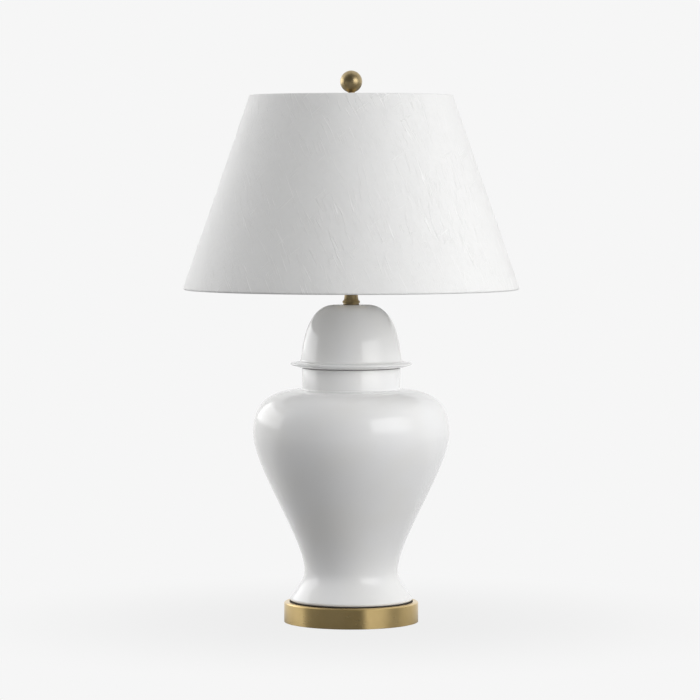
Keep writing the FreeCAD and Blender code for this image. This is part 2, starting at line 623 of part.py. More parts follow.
# ---------------------------------------------------------------- socket and switch
def make_socket():
    hub_z_top = socket_cap_z + socket_hub_h
    wall = socket_cap_wall
    cap = Section(pipe_r + thread_gap, socket_cap_z).to(socket_hub_r, socket_cap_z)
    cap.to(socket_hub_r, hub_z_top)
    cap.curve((socket_hub_r + 1.0, hub_z_top + 0.5 * socket_flare_h),
              (socket_cap_r, hub_z_top + 0.3 * socket_flare_h), (socket_cap_r, socket_skirt_z))
    cap.to(socket_cap_r, socket_rim_z).to(socket_cap_r - wall, socket_rim_z)
    cap.to(socket_cap_r - wall, socket_skirt_z)
    cap.curve((socket_cap_r - wall, hub_z_top + 0.3 * socket_flare_h + socket_cap_floor),
              (socket_hub_r + 1.0, hub_z_top + 0.5 * socket_flare_h + socket_cap_floor),
              (socket_hub_r - 0.5, hub_z_top + socket_cap_floor))
    cap.to(pipe_r + thread_gap, hub_z_top + socket_cap_floor)
    screw_z = socket_cap_z + socket_hub_h / 2
    screw_y = pipe_r + thread_gap
    hole = rod(set_screw_r + thread_gap, socket_hub_r, Vec(0, 0, screw_z), Vec(0, 1, 0))
    save("socket_cap", cap.spin().cut(hole))
    screw = rod(set_screw_r, socket_hub_r - screw_y + set_screw_stand, Vec(0, screw_y, screw_z), Vec(0, 1, 0))
    slot = Part.makeBox(2 * set_screw_r, set_screw_slot_d, set_screw_slot_w,
                        Vec(-set_screw_r, socket_hub_r + set_screw_stand - set_screw_slot_d,
                            screw_z - set_screw_slot_w / 2))
    save("cap_set_screw", screw.cut(slot))

    shaft_way = rod(switch_shaft_r + switch_hole_gap, 2 * socket_cap_r, Vec(0, 0, switch_z), Vec(0, -1, 0))
    bead_z = socket_rim_z + shell_bead_lift
    shell = Section(shell_in_r, shell_z).to(shell_out_r, shell_z).to(shell_out_r, bead_z)
    shell.arc((socket_cap_r, bead_z + shell_bead_h / 2), (shell_out_r, bead_z + shell_bead_h))
    shell.to(shell_out_r, shell_top_z).to(shell_in_r, shell_top_z)
    save("socket_shell", shell.spin().cut(shaft_way))
    sleeve_z = shell_z + sleeve_lift
    sleeve = ring(sleeve_out_r, sleeve_in_r, sleeve_z, screw_shell_top_z - sleeve_z)
    save("socket_sleeve", sleeve.cut(shaft_way))
    save("socket_cap_liner", ring(body_r, pipe_r + cap_liner_gap, body_z - cap_liner_t, cap_liner_t))

    body = rod(body_r, socket_body_h, Vec(0, 0, body_z))
    flat_x = body_r - terminal_flat
    terminal_z = body_z + socket_body_h / 2
    screws = []
    for sign in (-1, 1):
        corner_x = flat_x if sign > 0 else -body_r
        body = body.cut(Part.makeBox(terminal_flat, 2 * body_r, socket_body_h - 2 * terminal_land,
                                     Vec(corner_x, -body_r, body_z + terminal_land)))
        direction = Vec(sign, 0, 0)
        root = Vec(sign * (flat_x - terminal_shank), 0, terminal_z)
        body = body.cut(rod(terminal_shank_r + thread_gap, terminal_shank, root, direction))
        screw = rod(terminal_shank_r, terminal_shank, root, direction)
        head = rod(terminal_head_r, terminal_head_t, Vec(sign * flat_x, 0, terminal_z), direction)
        screws.append(screw.fuse(head).removeSplitter())
    shaft_in_y = -body_r + switch_shaft_depth
    shaft_hole = rod(switch_shaft_r + running_gap, switch_shaft_depth + 1, Vec(0, shaft_in_y, switch_z),
                     Vec(0, -1, 0))
    save("socket_body", body.cut(shaft_hole))
    save("terminal_screws", Part.makeCompound(screws))

    tube = Section(screw_shell_in_r, screw_shell_top_z).to(body_r, screw_shell_top_z).to(body_r, body_top_z)
    tube.to(contact_hole_r, body_top_z).to(contact_hole_r, body_top_z + socket_floor_t)
    tube.to(screw_shell_in_r, body_top_z + socket_floor_t)
    save("screw_shell", tube.spin())

    reach = contact_reach
    strip = Section(-reach, body_top_z).to(reach, body_top_z).to(reach, body_top_z + contact_t)
    strip.to(-reach + contact_fold, body_top_z + contact_t)
    strip.to(reach, body_top_z + contact_rise)
    strip.to(reach - contact_t, body_top_z + contact_rise + contact_t)
    strip.to(-reach, body_top_z + 2 * contact_t)
    save("centre_contact", strip.plate(contact_w))

    shaft_l = switch_shaft_depth - switch_shaft_play + switch_shaft_out
    shaft_start = shaft_in_y - switch_shaft_play
    shaft = rod(switch_shaft_r, shaft_l, Vec(0, shaft_start, switch_z), Vec(0, -1, 0))
    save("switch_shaft", shaft)
    knob_y = shaft_start - shaft_l + knob_hub_depth
    knob = Part.makeCone(knob_r, knob_tip_r, knob_l, Vec(0, knob_y, switch_z), Vec(0, -1, 0))
    knob = knob.cut(rod(switch_shaft_r, knob_hub_depth, Vec(0, knob_y, switch_z), Vec(0, -1, 0)))
    for i in range(knob_flutes):
        angle = 2 * pi * (i + 0.5) / knob_flutes
        offset = Vec(knob_r * cos(angle), knob_y + 1, switch_z + knob_r * sin(angle))
        knob = knob.cut(rod(knob_flute_r, knob_l + 2, offset, Vec(0, -1, 0)))
    save("switch_knob", knob)


# ---------------------------------------------------------------- bulb
def make_bulb():
    save("bulb_contact",
         Part.makeCone(bulb_tip_r - bulb_tip_taper, bulb_tip_r, bulb_tip_h, Vec(0, 0, bulb_tip_z)))
    cone_z = bulb_tip_z + bulb_tip_h
    root_r = bulb_crest_r - bulb_thread_depth
    save("bulb_insulator", Part.makeCone(bulb_tip_r, root_r, bulb_cone_h, Vec(0, 0, cone_z)))
    in_r = root_r - bulb_cap_wall
    cap = Section(in_r, bulb_cap_z).to(root_r, bulb_cap_z)
    for i in range(bulb_thread_turns):
        z = bulb_cap_z + i * bulb_thread_pitch
        cap.arc((bulb_crest_r, z + bulb_thread_pitch / 2), (root_r, z + bulb_thread_pitch))
    cap.to(root_r, bulb_cap_top_z).to(in_r, bulb_cap_top_z)
    save("bulb_screw_cap", cap.spin())

    skirt_z = bulb_cap_top_z
    mouth_z = globe_mouth_z
    rise = mouth_z - skirt_z
    wall = housing_wall
    housing = Section(in_r - wall, skirt_z - bulb_cap_collar).to(in_r, skirt_z - bulb_cap_collar)
    housing.to(in_r, skirt_z).to(housing_neck_r, skirt_z)
    housing.curve((housing_neck_r + 0.5, skirt_z + 0.4 * rise), (housing_r - 3, mouth_z - 0.3 * rise),
                  (housing_r, mouth_z))
    housing.to(housing_r - wall, mouth_z)
    housing.curve((housing_r - 3 - wall, mouth_z - 0.3 * rise),
                  (housing_neck_r + 0.5 - wall, skirt_z + 0.4 * rise), (in_r - wall, skirt_z + 1.0))
    save("bulb_housing", housing.spin())
    board_r = housing_r - wall - thread_gap
    disc_z = mouth_z - light_board_t
    disc = Part.makeCone(board_r - light_board_lean, board_r, light_board_t, Vec(0, 0, disc_z))
    save("bulb_light_board", disc)

    mouth = degrees(acos(housing_r / globe_r))
    in_globe_r = globe_r - globe_wall
    in_mouth_r = sqrt(in_globe_r ** 2 - (globe_z - mouth_z) ** 2)
    globe = Section(in_mouth_r, mouth_z).to(housing_r, mouth_z)
    globe.round((0, globe_z), globe_r, -mouth, 90)
    globe.to(0, globe_z + in_globe_r)
    in_mouth = degrees(acos(in_mouth_r / in_globe_r))
    globe.round((0, globe_z), in_globe_r, 90, -in_mouth)
    save("bulb_globe", globe.spin())


# ---------------------------------------------------------------- shade
def ring_centre(top):
    """Centre of the wire inside the rolled edge, at the shade's top or bottom."""
    height = shade_bottom_z + (shade_h - roll_out_r if top else roll_out_r)
    r = shade_bottom_r - (height - shade_bottom_z) * tan(shade_lean) - roll_out_r / cos(shade_lean)
    return r, height


def edge_point(top, along, inward):
    """A point of the wall's section: so far up the slope from a rolled edge's centre towards that edge,
    and so far inward from the cover's outside."""
    r, z = ring_centre(top)
    sign = 1 if top else -1
    along, inward = sign * along, inward - roll_out_r
    return (r - along * sin(shade_lean) - inward * cos(shade_lean),
            z + along * cos(shade_lean) - inward * sin(shade_lean))


def roll(section, top, radius, outward_first):
    """The arc of a rolled edge between the wall's skin and the slanting hem."""
    swing = 180 + hem_lean
    turns = [radians(angle) for angle in (0, swing / 2, swing)]
    points = [edge_point(top, radius * sin(turn), roll_out_r - radius * cos(turn)) for turn in turns]
    if not outward_first:
        points.reverse()
    section.to(*points[0])
    section.arc(points[1], points[2])


def hem_end(top, inner_face):
    """Where the hem's face comes down to the liner, and the hem's free end."""
    radius = roll_out_r if inner_face else roll_in_r
    level = cover_t + liner_t + (cover_t if inner_face else 0)
    lean = radians(hem_lean)
    start_along, start_in = -radius * sin(lean), roll_out_r + radius * cos(lean)
    run = (start_in - level) / tan(lean)
    return edge_point(top, start_along - run, level), edge_point(top, -hem_total(), level)


def hem_total():
    lean = radians(hem_lean)
    level = cover_t + liner_t
    return roll_in_r * sin(lean) + (roll_out_r + roll_in_r * cos(lean) - level) / tan(lean) + hem_flat


def make_shade():
    # The cover: skin, a roll round each ring and a hem turned in over the liner's edges.
    low_land, low_tip = hem_end(False, True)
    cover = Section(*low_tip).to(*low_land)
    roll(cover, False, roll_out_r, False)
    roll(cover, True, roll_out_r, True)
    high_land, high_tip = hem_end(True, True)
    high_near_land, high_near_tip = hem_end(True, False)
    cover.to(*high_land).to(*high_tip).to(*high_near_tip).to(*high_near_land)
    roll(cover, True, roll_in_r, False)
    roll(cover, False, roll_in_r, True)
    low_near_land, low_near_tip = hem_end(False, False)
    cover.to(*low_near_land).to(*low_near_tip)
    cover = cover.spin()

    arms = []
    for i in range(arm_count):
        arm, notch = spider_arm(first_arm + i * 360.0 / arm_count)
        cover = cover.cut(notch)
        arms.append(arm)
    save("shade_cover", cover)

    edge_stop = sqrt(roll_in_r ** 2 - (roll_out_r - cover_t - liner_t) ** 2) + 0.2
    liner = Section(*edge_point(False, -edge_stop, cover_t)).to(*edge_point(True, -edge_stop, cover_t))
    liner.to(*edge_point(True, -edge_stop, cover_t + liner_t))
    liner.to(*edge_point(False, -edge_stop, cover_t + liner_t))
    save("shade_liner", liner.spin())

    for name, top in (("shade_bottom_ring", False), ("shade_top_ring", True)):
        r, z = ring_centre(top)
        save(name, Part.makeTorus(r, ring_r, Vec(0, 0, z)))

    save("shade_hub", ring(hub_r, stud_r + hub_gap, hub_z, hub_t))
    for i, arm in enumerate(arms):
        save("shade_arm_%d" % (i + 1), arm)


def spider_arm(angle):
    """One spoke from the hub to the top ring, bent up at its outer end, and the notch that it needs."""
    arm_z = hub_z + hub_t / 2
    ring_at, ring_height = ring_centre(True)
    tip_gap = ring_r + thread_gap
    arm_bend_at = ring_at - arm_raised
    rise = ring_height - arm_z
    # The bend starts at arm_bend_at; its turn brings the last run to the ring's centre.
    reach = sqrt(arm_raised ** 2 + (arm_bend_r - rise) ** 2)
    turn = asin(arm_bend_r / reach) - atan2(arm_bend_r - rise, arm_raised)
    bend_end = Vec(arm_bend_at + arm_bend_r * sin(turn), 0, arm_z + arm_bend_r * (1 - cos(turn)))
    bend_mid = Vec(arm_bend_at + arm_bend_r * sin(turn / 2), 0, arm_z + arm_bend_r * (1 - cos(turn / 2)))
    aim = Vec(ring_at, 0, ring_height) - bend_end
    tip = bend_end + aim * ((aim.Length - tip_gap) / aim.Length)
    start = Vec(hub_r, 0, arm_z)
    bend_start = Vec(arm_bend_at, 0, arm_z)
    arm = bent_wire([Part.LineSegment(start, bend_start).toShape(),
                     Part.Arc(bend_start, bend_mid, bend_end).toShape(),
                     Part.LineSegment(bend_end, tip).toShape()], arm_r)
    notch = rod(arm_r + slip_gap, aim.Length - tip_gap, bend_end, aim)
    axis = Vec(0, 0, 1)
    for shape in (arm, notch):
        shape.rotate(Vec(0, 0, 0), axis, angle)
    return arm, notch


# ---------------------------------------------------------------- finial
def make_finial():
    bore_top = harp_seat_z + stud_h + stem_thread_spare
    stem = Section(stud_r + thread_gap, finial_z).to(stem_foot_r, finial_z)
    stem.to(stem_foot_r, finial_z + stem_foot_h)
    cove_mid = (stem_r + 0.27 * (stem_foot_r - stem_r), finial_z + stem_foot_h + 0.4 * stem_cove_h)
    stem.arc(cove_mid, (stem_r, finial_z + stem_foot_h + stem_cove_h))
    stem.to(stem_r, stem_top_z).to(spigot_r, stem_top_z).to(spigot_r, stem_top_z + spigot_h)
    stem.to(0, stem_top_z + spigot_h).to(0, bore_top).to(stud_r + thread_gap, bore_top)
    save("finial_stem", stem.spin())
    socket_r = spigot_r + thread_gap
    ball = Section(socket_r, stem_top_z).to(stem_r, stem_top_z)
    flat = -degrees(acos(stem_r / ball_r))
    ball.round((0, ball_z), ball_r, flat, 90)
    bore_end = stem_top_z + spigot_h + spigot_gap
    ball.to(0, bore_end).to(socket_r, bore_end)
    save("finial_ball", ball.spin())


make_base()
make_pipe()
make_jar()
make_lid()
make_brass_neck()
make_saddle()
make_harp()
make_socket()
make_bulb()
make_shade()
make_finial()
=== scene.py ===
# %% [markdown]
# # A ginger jar table lamp
# The lamp's construction is already packed as a frame of metal, ceramic and plastic parts, in metres, with
# +Z up the lamp's axis and the front towards -Y.  This lesson dresses that frame: it remakes the parts whose
# surface matters most (jar, lid, shade cloth, felt), gives every part a finish, and lights the whole as a
# studio would.

# %% Load the frame
import json
import math

import bpy
import numpy as np
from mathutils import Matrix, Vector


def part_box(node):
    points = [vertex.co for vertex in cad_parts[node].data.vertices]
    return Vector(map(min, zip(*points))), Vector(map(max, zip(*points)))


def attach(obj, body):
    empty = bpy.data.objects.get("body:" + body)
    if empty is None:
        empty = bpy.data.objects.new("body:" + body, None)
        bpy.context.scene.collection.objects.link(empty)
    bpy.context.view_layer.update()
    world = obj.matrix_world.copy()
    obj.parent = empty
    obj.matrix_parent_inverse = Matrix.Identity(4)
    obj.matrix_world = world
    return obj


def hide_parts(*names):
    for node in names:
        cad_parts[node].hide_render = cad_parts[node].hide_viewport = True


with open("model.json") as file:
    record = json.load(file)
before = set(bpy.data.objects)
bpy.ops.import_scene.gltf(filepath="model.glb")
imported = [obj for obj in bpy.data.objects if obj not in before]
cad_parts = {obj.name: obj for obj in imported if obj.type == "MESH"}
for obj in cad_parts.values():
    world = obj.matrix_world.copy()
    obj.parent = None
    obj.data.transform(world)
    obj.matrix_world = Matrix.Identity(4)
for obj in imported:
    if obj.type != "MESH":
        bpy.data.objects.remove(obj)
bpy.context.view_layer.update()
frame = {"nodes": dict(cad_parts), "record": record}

nodes = frame["nodes"]


# %% [markdown]
# ## Camera
# The photograph was taken from far away with a long lens: the shade's two rims look almost like straight
# lines.  The lower rim sags by 4 pixels and the upper one rises by 1, so the camera stands lower than the
# shade's top and higher than its bottom.  Those two numbers give its height and distance.  A pixel is 1.361
# mm at the lamp.

# %% Place the camera
MM = 0.001
PIXEL = 1.361 * MM
PICTURE = 700
SENSOR = 36
CAMERA_SIDE = -1.63 * MM
CAMERA_DISTANCE = 4.95
CAMERA_HEIGHT = 0.6135
AIM_HEIGHT = 0.3712

camera_data = bpy.data.cameras.new("camera")
camera = bpy.data.objects.new("camera", camera_data)
bpy.context.scene.collection.objects.link(camera)
camera.location = (CAMERA_SIDE, -CAMERA_DISTANCE, CAMERA_HEIGHT)
pitch = math.atan2(CAMERA_HEIGHT - AIM_HEIGHT, CAMERA_DISTANCE)
camera.rotation_euler = (math.pi / 2 - pitch, 0, 0)
camera_data.sensor_width = SENSOR
aim_distance = math.hypot(CAMERA_DISTANCE, CAMERA_HEIGHT - AIM_HEIGHT)
camera_data.lens = SENSOR * aim_distance / (PICTURE * PIXEL)
bpy.context.scene.camera = camera
print("lens %.1f mm, pitch %.2f degrees" % (camera_data.lens, math.degrees(pitch)))


# %% [markdown]
# ## Arithmetic with shader sockets
# A material is a graph of nodes.  Wiring a formula such as 1 - mask * 0.3 by hand takes two nodes and three
# links.  The small class below wraps one output socket, so that Python's own operators add those nodes.  The
# second class is the graph itself: it adds any node from its type, its settings and its sockets, and has
# short names for the nodes that come up again and again.

# %% Sockets that can be added and multiplied
class Value:
    """An output socket.  +, - and * with a number or another Value add one Math node each."""

    def __init__(self, graph, socket):
        self.graph, self.socket = graph, socket

    def math(self, operation, *others):
        return self.graph.add("ShaderNodeMath", {"operation": operation}, dict(enumerate((self, *others))))

    def __add__(self, other): return self.math("ADD", other)
    def __radd__(self, other): return self.math("ADD", other)
    def __sub__(self, other): return self.math("SUBTRACT", other)
    def __mul__(self, other): return self.math("MULTIPLY", other)

    def __rsub__(self, other):
        return self.graph.add("ShaderNodeMath", {"operation": "SUBTRACT"}, {0: other, 1: self})

    def smooth(self, low, high):
        """0 below low, 1 above high and an S-shaped rise between them."""
        sockets = {"Value": self, "From Min": low, "From Max": high}
        return self.graph.add("ShaderNodeMapRange", {"interpolation_type": "SMOOTHSTEP"}, sockets)


class Graph:
    """A node tree that is filled from Python."""

    def __init__(self, tree):
        self.tree = tree
        self.tree.nodes.clear()

    def add(self, kind, settings=None, sockets=None, out=0):
        """Adds a node: first its settings, then its input sockets by index, identifier or name."""
        node = self.tree.nodes.new(kind)
        for name, value in (settings or {}).items():
            setattr(node, name, value)
        for key, value in (sockets or {}).items():
            target = self.find(node.inputs, key)
            if isinstance(value, Value):
                self.tree.links.new(value.socket, target)
            else:
                target.default_value = value
        return Value(self, self.find(node.outputs, out)) if node.outputs else node

    @staticmethod
    def find(sockets, key):
        if isinstance(key, int):
            return sockets[key]
        same = [s for s in sockets if s.identifier == key] or [s for s in sockets if s.name == key]
        return same[0]

    def mix(self, factor, a, b):
        """Colour a where factor is 0 and colour b where it is 1."""
        a, b = [c if isinstance(c, Value) else (*c, 1) for c in (a, b)]
        sockets = {"Factor_Float": factor, "A_Color": a, "B_Color": b}
        return self.add("ShaderNodeMix", {"data_type": "RGBA"}, sockets, "Result_Color")

    def place(self, vector, turn=(0, 0, 0), scale=(1, 1, 1), shift=(0, 0, 0)):
        """The coordinates turned, stretched and shifted; turn is in degrees."""
        return self.add("ShaderNodeMapping", {}, {"Vector": vector, "Location": shift, "Scale": scale,
                                                  "Rotation": [math.radians(a) for a in turn]})

    def noise(self, vector, scale, detail=2.0, roughness=0.5, distortion=0.0):
        """Cloudy noise between 0 and 1, about 0.5 on average; scale is in clouds per metre."""
        sockets = {"Vector": vector, "Scale": scale, "Detail": detail, "Roughness": roughness,
                   "Distortion": distortion}
        return self.add("ShaderNodeTexNoise", {}, sockets)

    def bump(self, height, distance, normal=None):
        """Tilts the surface as if height, times distance in metres, were real relief."""
        sockets = {"Height": height, "Distance": distance, "Strength": 1.0}
        if normal is not None:
            sockets["Normal"] = normal
        return self.add("ShaderNodeBump", {}, sockets)

    def split(self, vector):
        """The three coordinates as Values."""
        parts = self.add("ShaderNodeSeparateXYZ", {}, {0: vector})
        return [Value(self, s) for s in parts.socket.node.outputs]

    def join(self, x, y, z):
        return self.add("ShaderNodeCombineXYZ", {}, {0: x, 1: y, 2: z})


class Finish(Graph):
    """A material: a graph with object coordinates, a UV map and one Principled shader at its end."""

    def __init__(self, name):
        self.material = bpy.data.materials.new(name)
        self.material.use_nodes = True
        super().__init__(self.material.node_tree)
        self.here = self.add("ShaderNodeTexCoord", {}, {}, "Object")
        self.cloth = Value(self, self.here.socket.node.outputs["UV"])

    def surface(self, **sockets):
        """The Principled shader; Base_Color stands for the socket Base Color."""
        named = {key.replace("_", " "): value for key, value in sockets.items()}
        shader = self.add("ShaderNodeBsdfPrincipled", {}, named)
        self.add("ShaderNodeOutputMaterial", {}, {"Surface": shader})
        print("finish %s: %d nodes" % (self.material.name, len(self.tree.nodes)))

    def round_the_axis(self):
        """Coordinates for turned metal: distance from the axis, height, and the angle round it."""
        x, y, z = self.split(self.here)
        distance = (x * x + y * y).math("SQRT")
        angle = y.math("ARCTAN2", x)
        return distance, z, angle


# %% [markdown]
# ## White glaze
# The jar and lid are white earthenware under a clear, glossy glaze.  A glaze is never a perfect mirror: it
# pools and thins over centimetres, and it has a faint orange peel over millimetres.  Both are bumps far too
# small to model.  The colour is nearly even, a little warmer where the glaze is thick.

# %% Mix the glaze
glaze = Finish("white_glaze")
pools = glaze.noise(glaze.here, 14.0, detail=1.0)
peel = glaze.noise(glaze.here, 260.0, detail=1.0)
specks = glaze.noise(glaze.here, 900.0, detail=0.0).smooth(0.79, 0.84)
glaze_colour = glaze.mix(pools.smooth(0.3, 0.7), (0.845, 0.847, 0.850), (0.835, 0.833, 0.824))
glaze_colour = glaze.mix(specks * 0.25, glaze_colour, (0.62, 0.60, 0.56))
soft = glaze.bump(pools, 0.0009)
glaze.surface(Base_Color=glaze_colour, Roughness=0.05 + pools * 0.03, IOR=1.5,
              Normal=glaze.bump(peel, 0.000018, normal=soft))


# %% [markdown]
# ## Brass, three ways
# The base is spun and brushed on a lathe, so fine lines run round it: long in the angle, short in height and
# in distance from the axis.  The ball and the neck are antiqued: a brown film rubbed thin on the high spots.
# The harp, the saddle and the socket are plain bright brass.  Brushed lines are far finer than a pixel, so
# the shader's anisotropic reflection carries most of them, and a weak bump only breaks it up.

# %% Brush the base
satin = Finish("brass_satin")
distance, height, angle = satin.round_the_axis()
lines = satin.noise(satin.join(distance, height, angle * 0.004), 5200.0, detail=2.0, roughness=0.65)
bands = satin.noise(satin.join(distance, height, angle * 0.01), 420.0, detail=2.0)
tarnish = satin.noise(satin.here, 26.0, detail=3.0)
satin_colour = satin.mix(tarnish.smooth(0.35, 0.75), (0.80, 0.60, 0.28), (0.72, 0.53, 0.235))
satin_colour = satin.mix(lines.smooth(0.55, 0.8) * 0.35, satin_colour, (0.93, 0.74, 0.40))
satin.surface(Base_Color=satin_colour, Metallic=1.0, Anisotropic=1.0, Anisotropic_Rotation=0.25,
              Roughness=0.25 + bands * 0.08, Normal=satin.bump(lines, 0.00002))

# %% Antique the ball and neck
antique = Finish("brass_antique")
distance, height, angle = antique.round_the_axis()
film = antique.noise(antique.here, 90.0, detail=4.0, roughness=0.6)
turning = antique.noise(antique.join(distance, height, angle * 0.004), 2600.0, detail=1.0)
rubbed = antique.noise(antique.here, 420.0, detail=2.0)
antique_colour = antique.mix(film.smooth(0.3, 0.7), (0.50, 0.40, 0.225), (0.36, 0.275, 0.145))
antique_colour = antique.mix(rubbed.smooth(0.62, 0.78) * 0.5, antique_colour, (0.70, 0.56, 0.33))
antique.surface(Base_Color=antique_colour, Metallic=1.0, Anisotropic=0.7, Anisotropic_Rotation=0.25,
                Roughness=0.26 + film * 0.14, Normal=antique.bump(turning, 0.00002))

# %% Polish the bright parts
bright = Finish("brass_bright")
smears = bright.noise(bright.here, 60.0, detail=4.0)
drawn = bright.noise(bright.place(bright.here, scale=(1, 1, 0.06)), 3000.0, detail=1.0)
bright_colour = bright.mix(smears.smooth(0.3, 0.75), (0.88, 0.68, 0.32), (0.78, 0.56, 0.24))
bright.surface(Base_Color=bright_colour, Metallic=1.0, Roughness=0.2 + smears * 0.16,
               Normal=bright.bump(drawn, 0.000012))


# %% [markdown]
# ## The other metals
# The weight is raw cast iron, grainy and matt.  The pipe and its hardware are zinc plated, with the faint
# blue and yellow clouds of that plating.  The screw shells are bare aluminium, and the bulb's tip is a blob
# of solder.

# %% Iron, zinc, aluminium and solder
iron = Finish("cast_iron")
grain = iron.noise(iron.here, 700.0, detail=4.0, roughness=0.65)
sand = iron.noise(iron.here, 120.0, detail=2.0)
iron_colour = iron.mix(sand.smooth(0.4, 0.75), (0.050, 0.048, 0.047), (0.085, 0.070, 0.058))
iron.surface(Base_Color=iron_colour, Metallic=0.6, Roughness=0.62 + sand * 0.15,
             Normal=iron.bump(grain, 0.0004))

zinc = Finish("zinc_steel")
clouds = zinc.noise(zinc.here, 160.0, detail=3.0)
threads = zinc.noise(zinc.place(zinc.here, scale=(0.05, 0.05, 1)), 900.0, detail=0.0)
zinc_colour = zinc.mix(clouds.smooth(0.35, 0.7), (0.60, 0.62, 0.66), (0.66, 0.64, 0.56))
zinc.surface(Base_Color=zinc_colour, Metallic=1.0, Roughness=0.28 + clouds * 0.12,
             Normal=zinc.bump(threads, 0.00008))

aluminium = Finish("aluminium")
rolled = aluminium.noise(aluminium.place(aluminium.here, scale=(1, 1, 0.1)), 1600.0, detail=2.0)
aluminium_colour = aluminium.mix(rolled, (0.72, 0.73, 0.75), (0.82, 0.82, 0.83))
aluminium.surface(Base_Color=aluminium_colour, Metallic=1.0, Roughness=0.26 + rolled * 0.1,
                  Normal=aluminium.bump(rolled, 0.00002))

solder = Finish("solder")
lump = solder.noise(solder.here, 500.0, detail=2.0)
solder.surface(Base_Color=solder.mix(lump, (0.50, 0.50, 0.52), (0.66, 0.66, 0.67)), Metallic=1.0,
               Roughness=0.35 + lump * 0.15, Normal=solder.bump(lump, 0.0002))


# %% [markdown]
# ## Plastics, rubber, board and paper
# None of these shows much, yet each has its own grain: moulded phenolic is mottled, rubber is dusty,
# hardboard is pressed from fibres, and vulcanised paper has a faint waxy cloud.

# %% Moulded parts
black = Finish("black_plastic")
spark = black.noise(black.here, 2200.0, detail=1.0)
wear = black.noise(black.here, 80.0, detail=2.0)
black.surface(Base_Color=black.mix(wear, (0.012, 0.012, 0.013), (0.022, 0.021, 0.020)),
              Roughness=0.34 + wear * 0.14, Normal=black.bump(spark, 0.00004))

phenolic = Finish("brown_phenolic")
flow = phenolic.noise(phenolic.here, 130.0, detail=4.0, distortion=1.2)
phenolic.surface(Base_Color=phenolic.mix(flow.smooth(0.35, 0.7), (0.035, 0.014, 0.008), (0.10, 0.045, 0.022)),
                 Roughness=0.3 + flow * 0.15, Normal=phenolic.bump(flow, 0.00003))

housing = Finish("white_plastic")
matting = housing.noise(housing.here, 1500.0, detail=1.0)
ageing = housing.noise(housing.here, 40.0, detail=1.0)
housing.surface(Base_Color=housing.mix(ageing, (0.76, 0.76, 0.75), (0.72, 0.72, 0.70)),
                Roughness=0.42 + ageing * 0.1, Normal=housing.bump(matting, 0.00003))

opal = Finish("opal_globe")
frost = opal.noise(opal.here, 1800.0, detail=1.0)
veil = opal.noise(opal.here, 30.0, detail=2.0)
opal.surface(Base_Color=opal.mix(veil, (0.82, 0.82, 0.80), (0.78, 0.78, 0.77)), Roughness=0.3 + veil * 0.12,
             Normal=opal.bump(frost, 0.00001), Subsurface_Weight=0.35, Subsurface_Scale=0.004,
             Subsurface_Radius=(1.0, 0.95, 0.88))

glass = Finish("black_glass")
swirl = glass.noise(glass.here, 400.0, detail=2.0, distortion=1.0)
glass.surface(Base_Color=glass.mix(swirl, (0.010, 0.010, 0.014), (0.02, 0.018, 0.03)),
              Roughness=0.08 + swirl * 0.06, Normal=glass.bump(swirl, 0.00003))

# %% Rubber, hardboard, fibre paper, styrene and painted wire
rubber = Finish("rubber")
dust = rubber.noise(rubber.here, 320.0, detail=4.0)
rubber.surface(Base_Color=rubber.mix(dust.smooth(0.5, 0.8), (0.030, 0.022, 0.017), (0.070, 0.055, 0.045)),
               Roughness=0.62 + dust * 0.2, Normal=rubber.bump(dust, 0.00006))

hardboard = Finish("fibreboard")
laid = hardboard.place(hardboard.here, turn=(0, 0, 24), scale=(1, 0.2, 1))
fibres = hardboard.noise(laid, 900.0, detail=3.0)
pressed = hardboard.noise(hardboard.here, 70.0, detail=3.0)
board_colour = hardboard.mix(fibres.smooth(0.35, 0.7), (0.16, 0.085, 0.042), (0.27, 0.16, 0.085))
hardboard.surface(Base_Color=board_colour, Roughness=0.66 + pressed * 0.15,
                  Normal=hardboard.bump(fibres, 0.00012))

paper = Finish("fibre_paper")
wax = paper.noise(paper.here, 220.0, detail=3.0)
pulp = paper.noise(paper.here, 1700.0, detail=2.0)
paper.surface(Base_Color=paper.mix(wax, (0.20, 0.205, 0.20), (0.27, 0.27, 0.255)), Roughness=0.6 + wax * 0.15,
              Normal=paper.bump(pulp, 0.00005))

styrene = Finish("white_styrene")
haze = styrene.noise(styrene.here, 24.0, detail=2.0)
skin = styrene.noise(styrene.here, 1400.0, detail=1.0)
styrene.surface(Base_Color=styrene.mix(haze, (0.83, 0.83, 0.825), (0.80, 0.80, 0.79)),
                Roughness=0.45 + haze * 0.12, Normal=styrene.bump(skin, 0.00002))

wire = Finish("white_wire")
paint = wire.noise(wire.here, 600.0, detail=2.0)
chips = wire.noise(wire.here, 240.0, detail=3.0).smooth(0.70, 0.76)
wire.surface(Base_Color=wire.mix(chips, (0.78, 0.78, 0.77), (0.42, 0.42, 0.42)), Roughness=0.4 + paint * 0.15,
             Normal=wire.bump(paint, 0.00008))


# %% [markdown]
# ## Shade cloth
# The shade is covered with a crinkled white linen paper.  Long thin fibres are caught in it, most of them
# running steeply down to the right and a few the other way, and each stands a little proud and looks paler.
# Under them is a fine cockle and a faint weave.  The cloth is cut flat as a ring sector, so its UV map is
# that flat cut in metres: fibres that are straight on the cutting table stay straight as the cloth is rolled
# round the rings.
#
# One family of fibres is noise seen through a stretched lens: some 20 times longer along the fibre than
# across it, bent by slower noise, and kept only where it peaks.

# %% Lay the fibres
FIBRE_SWAY = 0.012


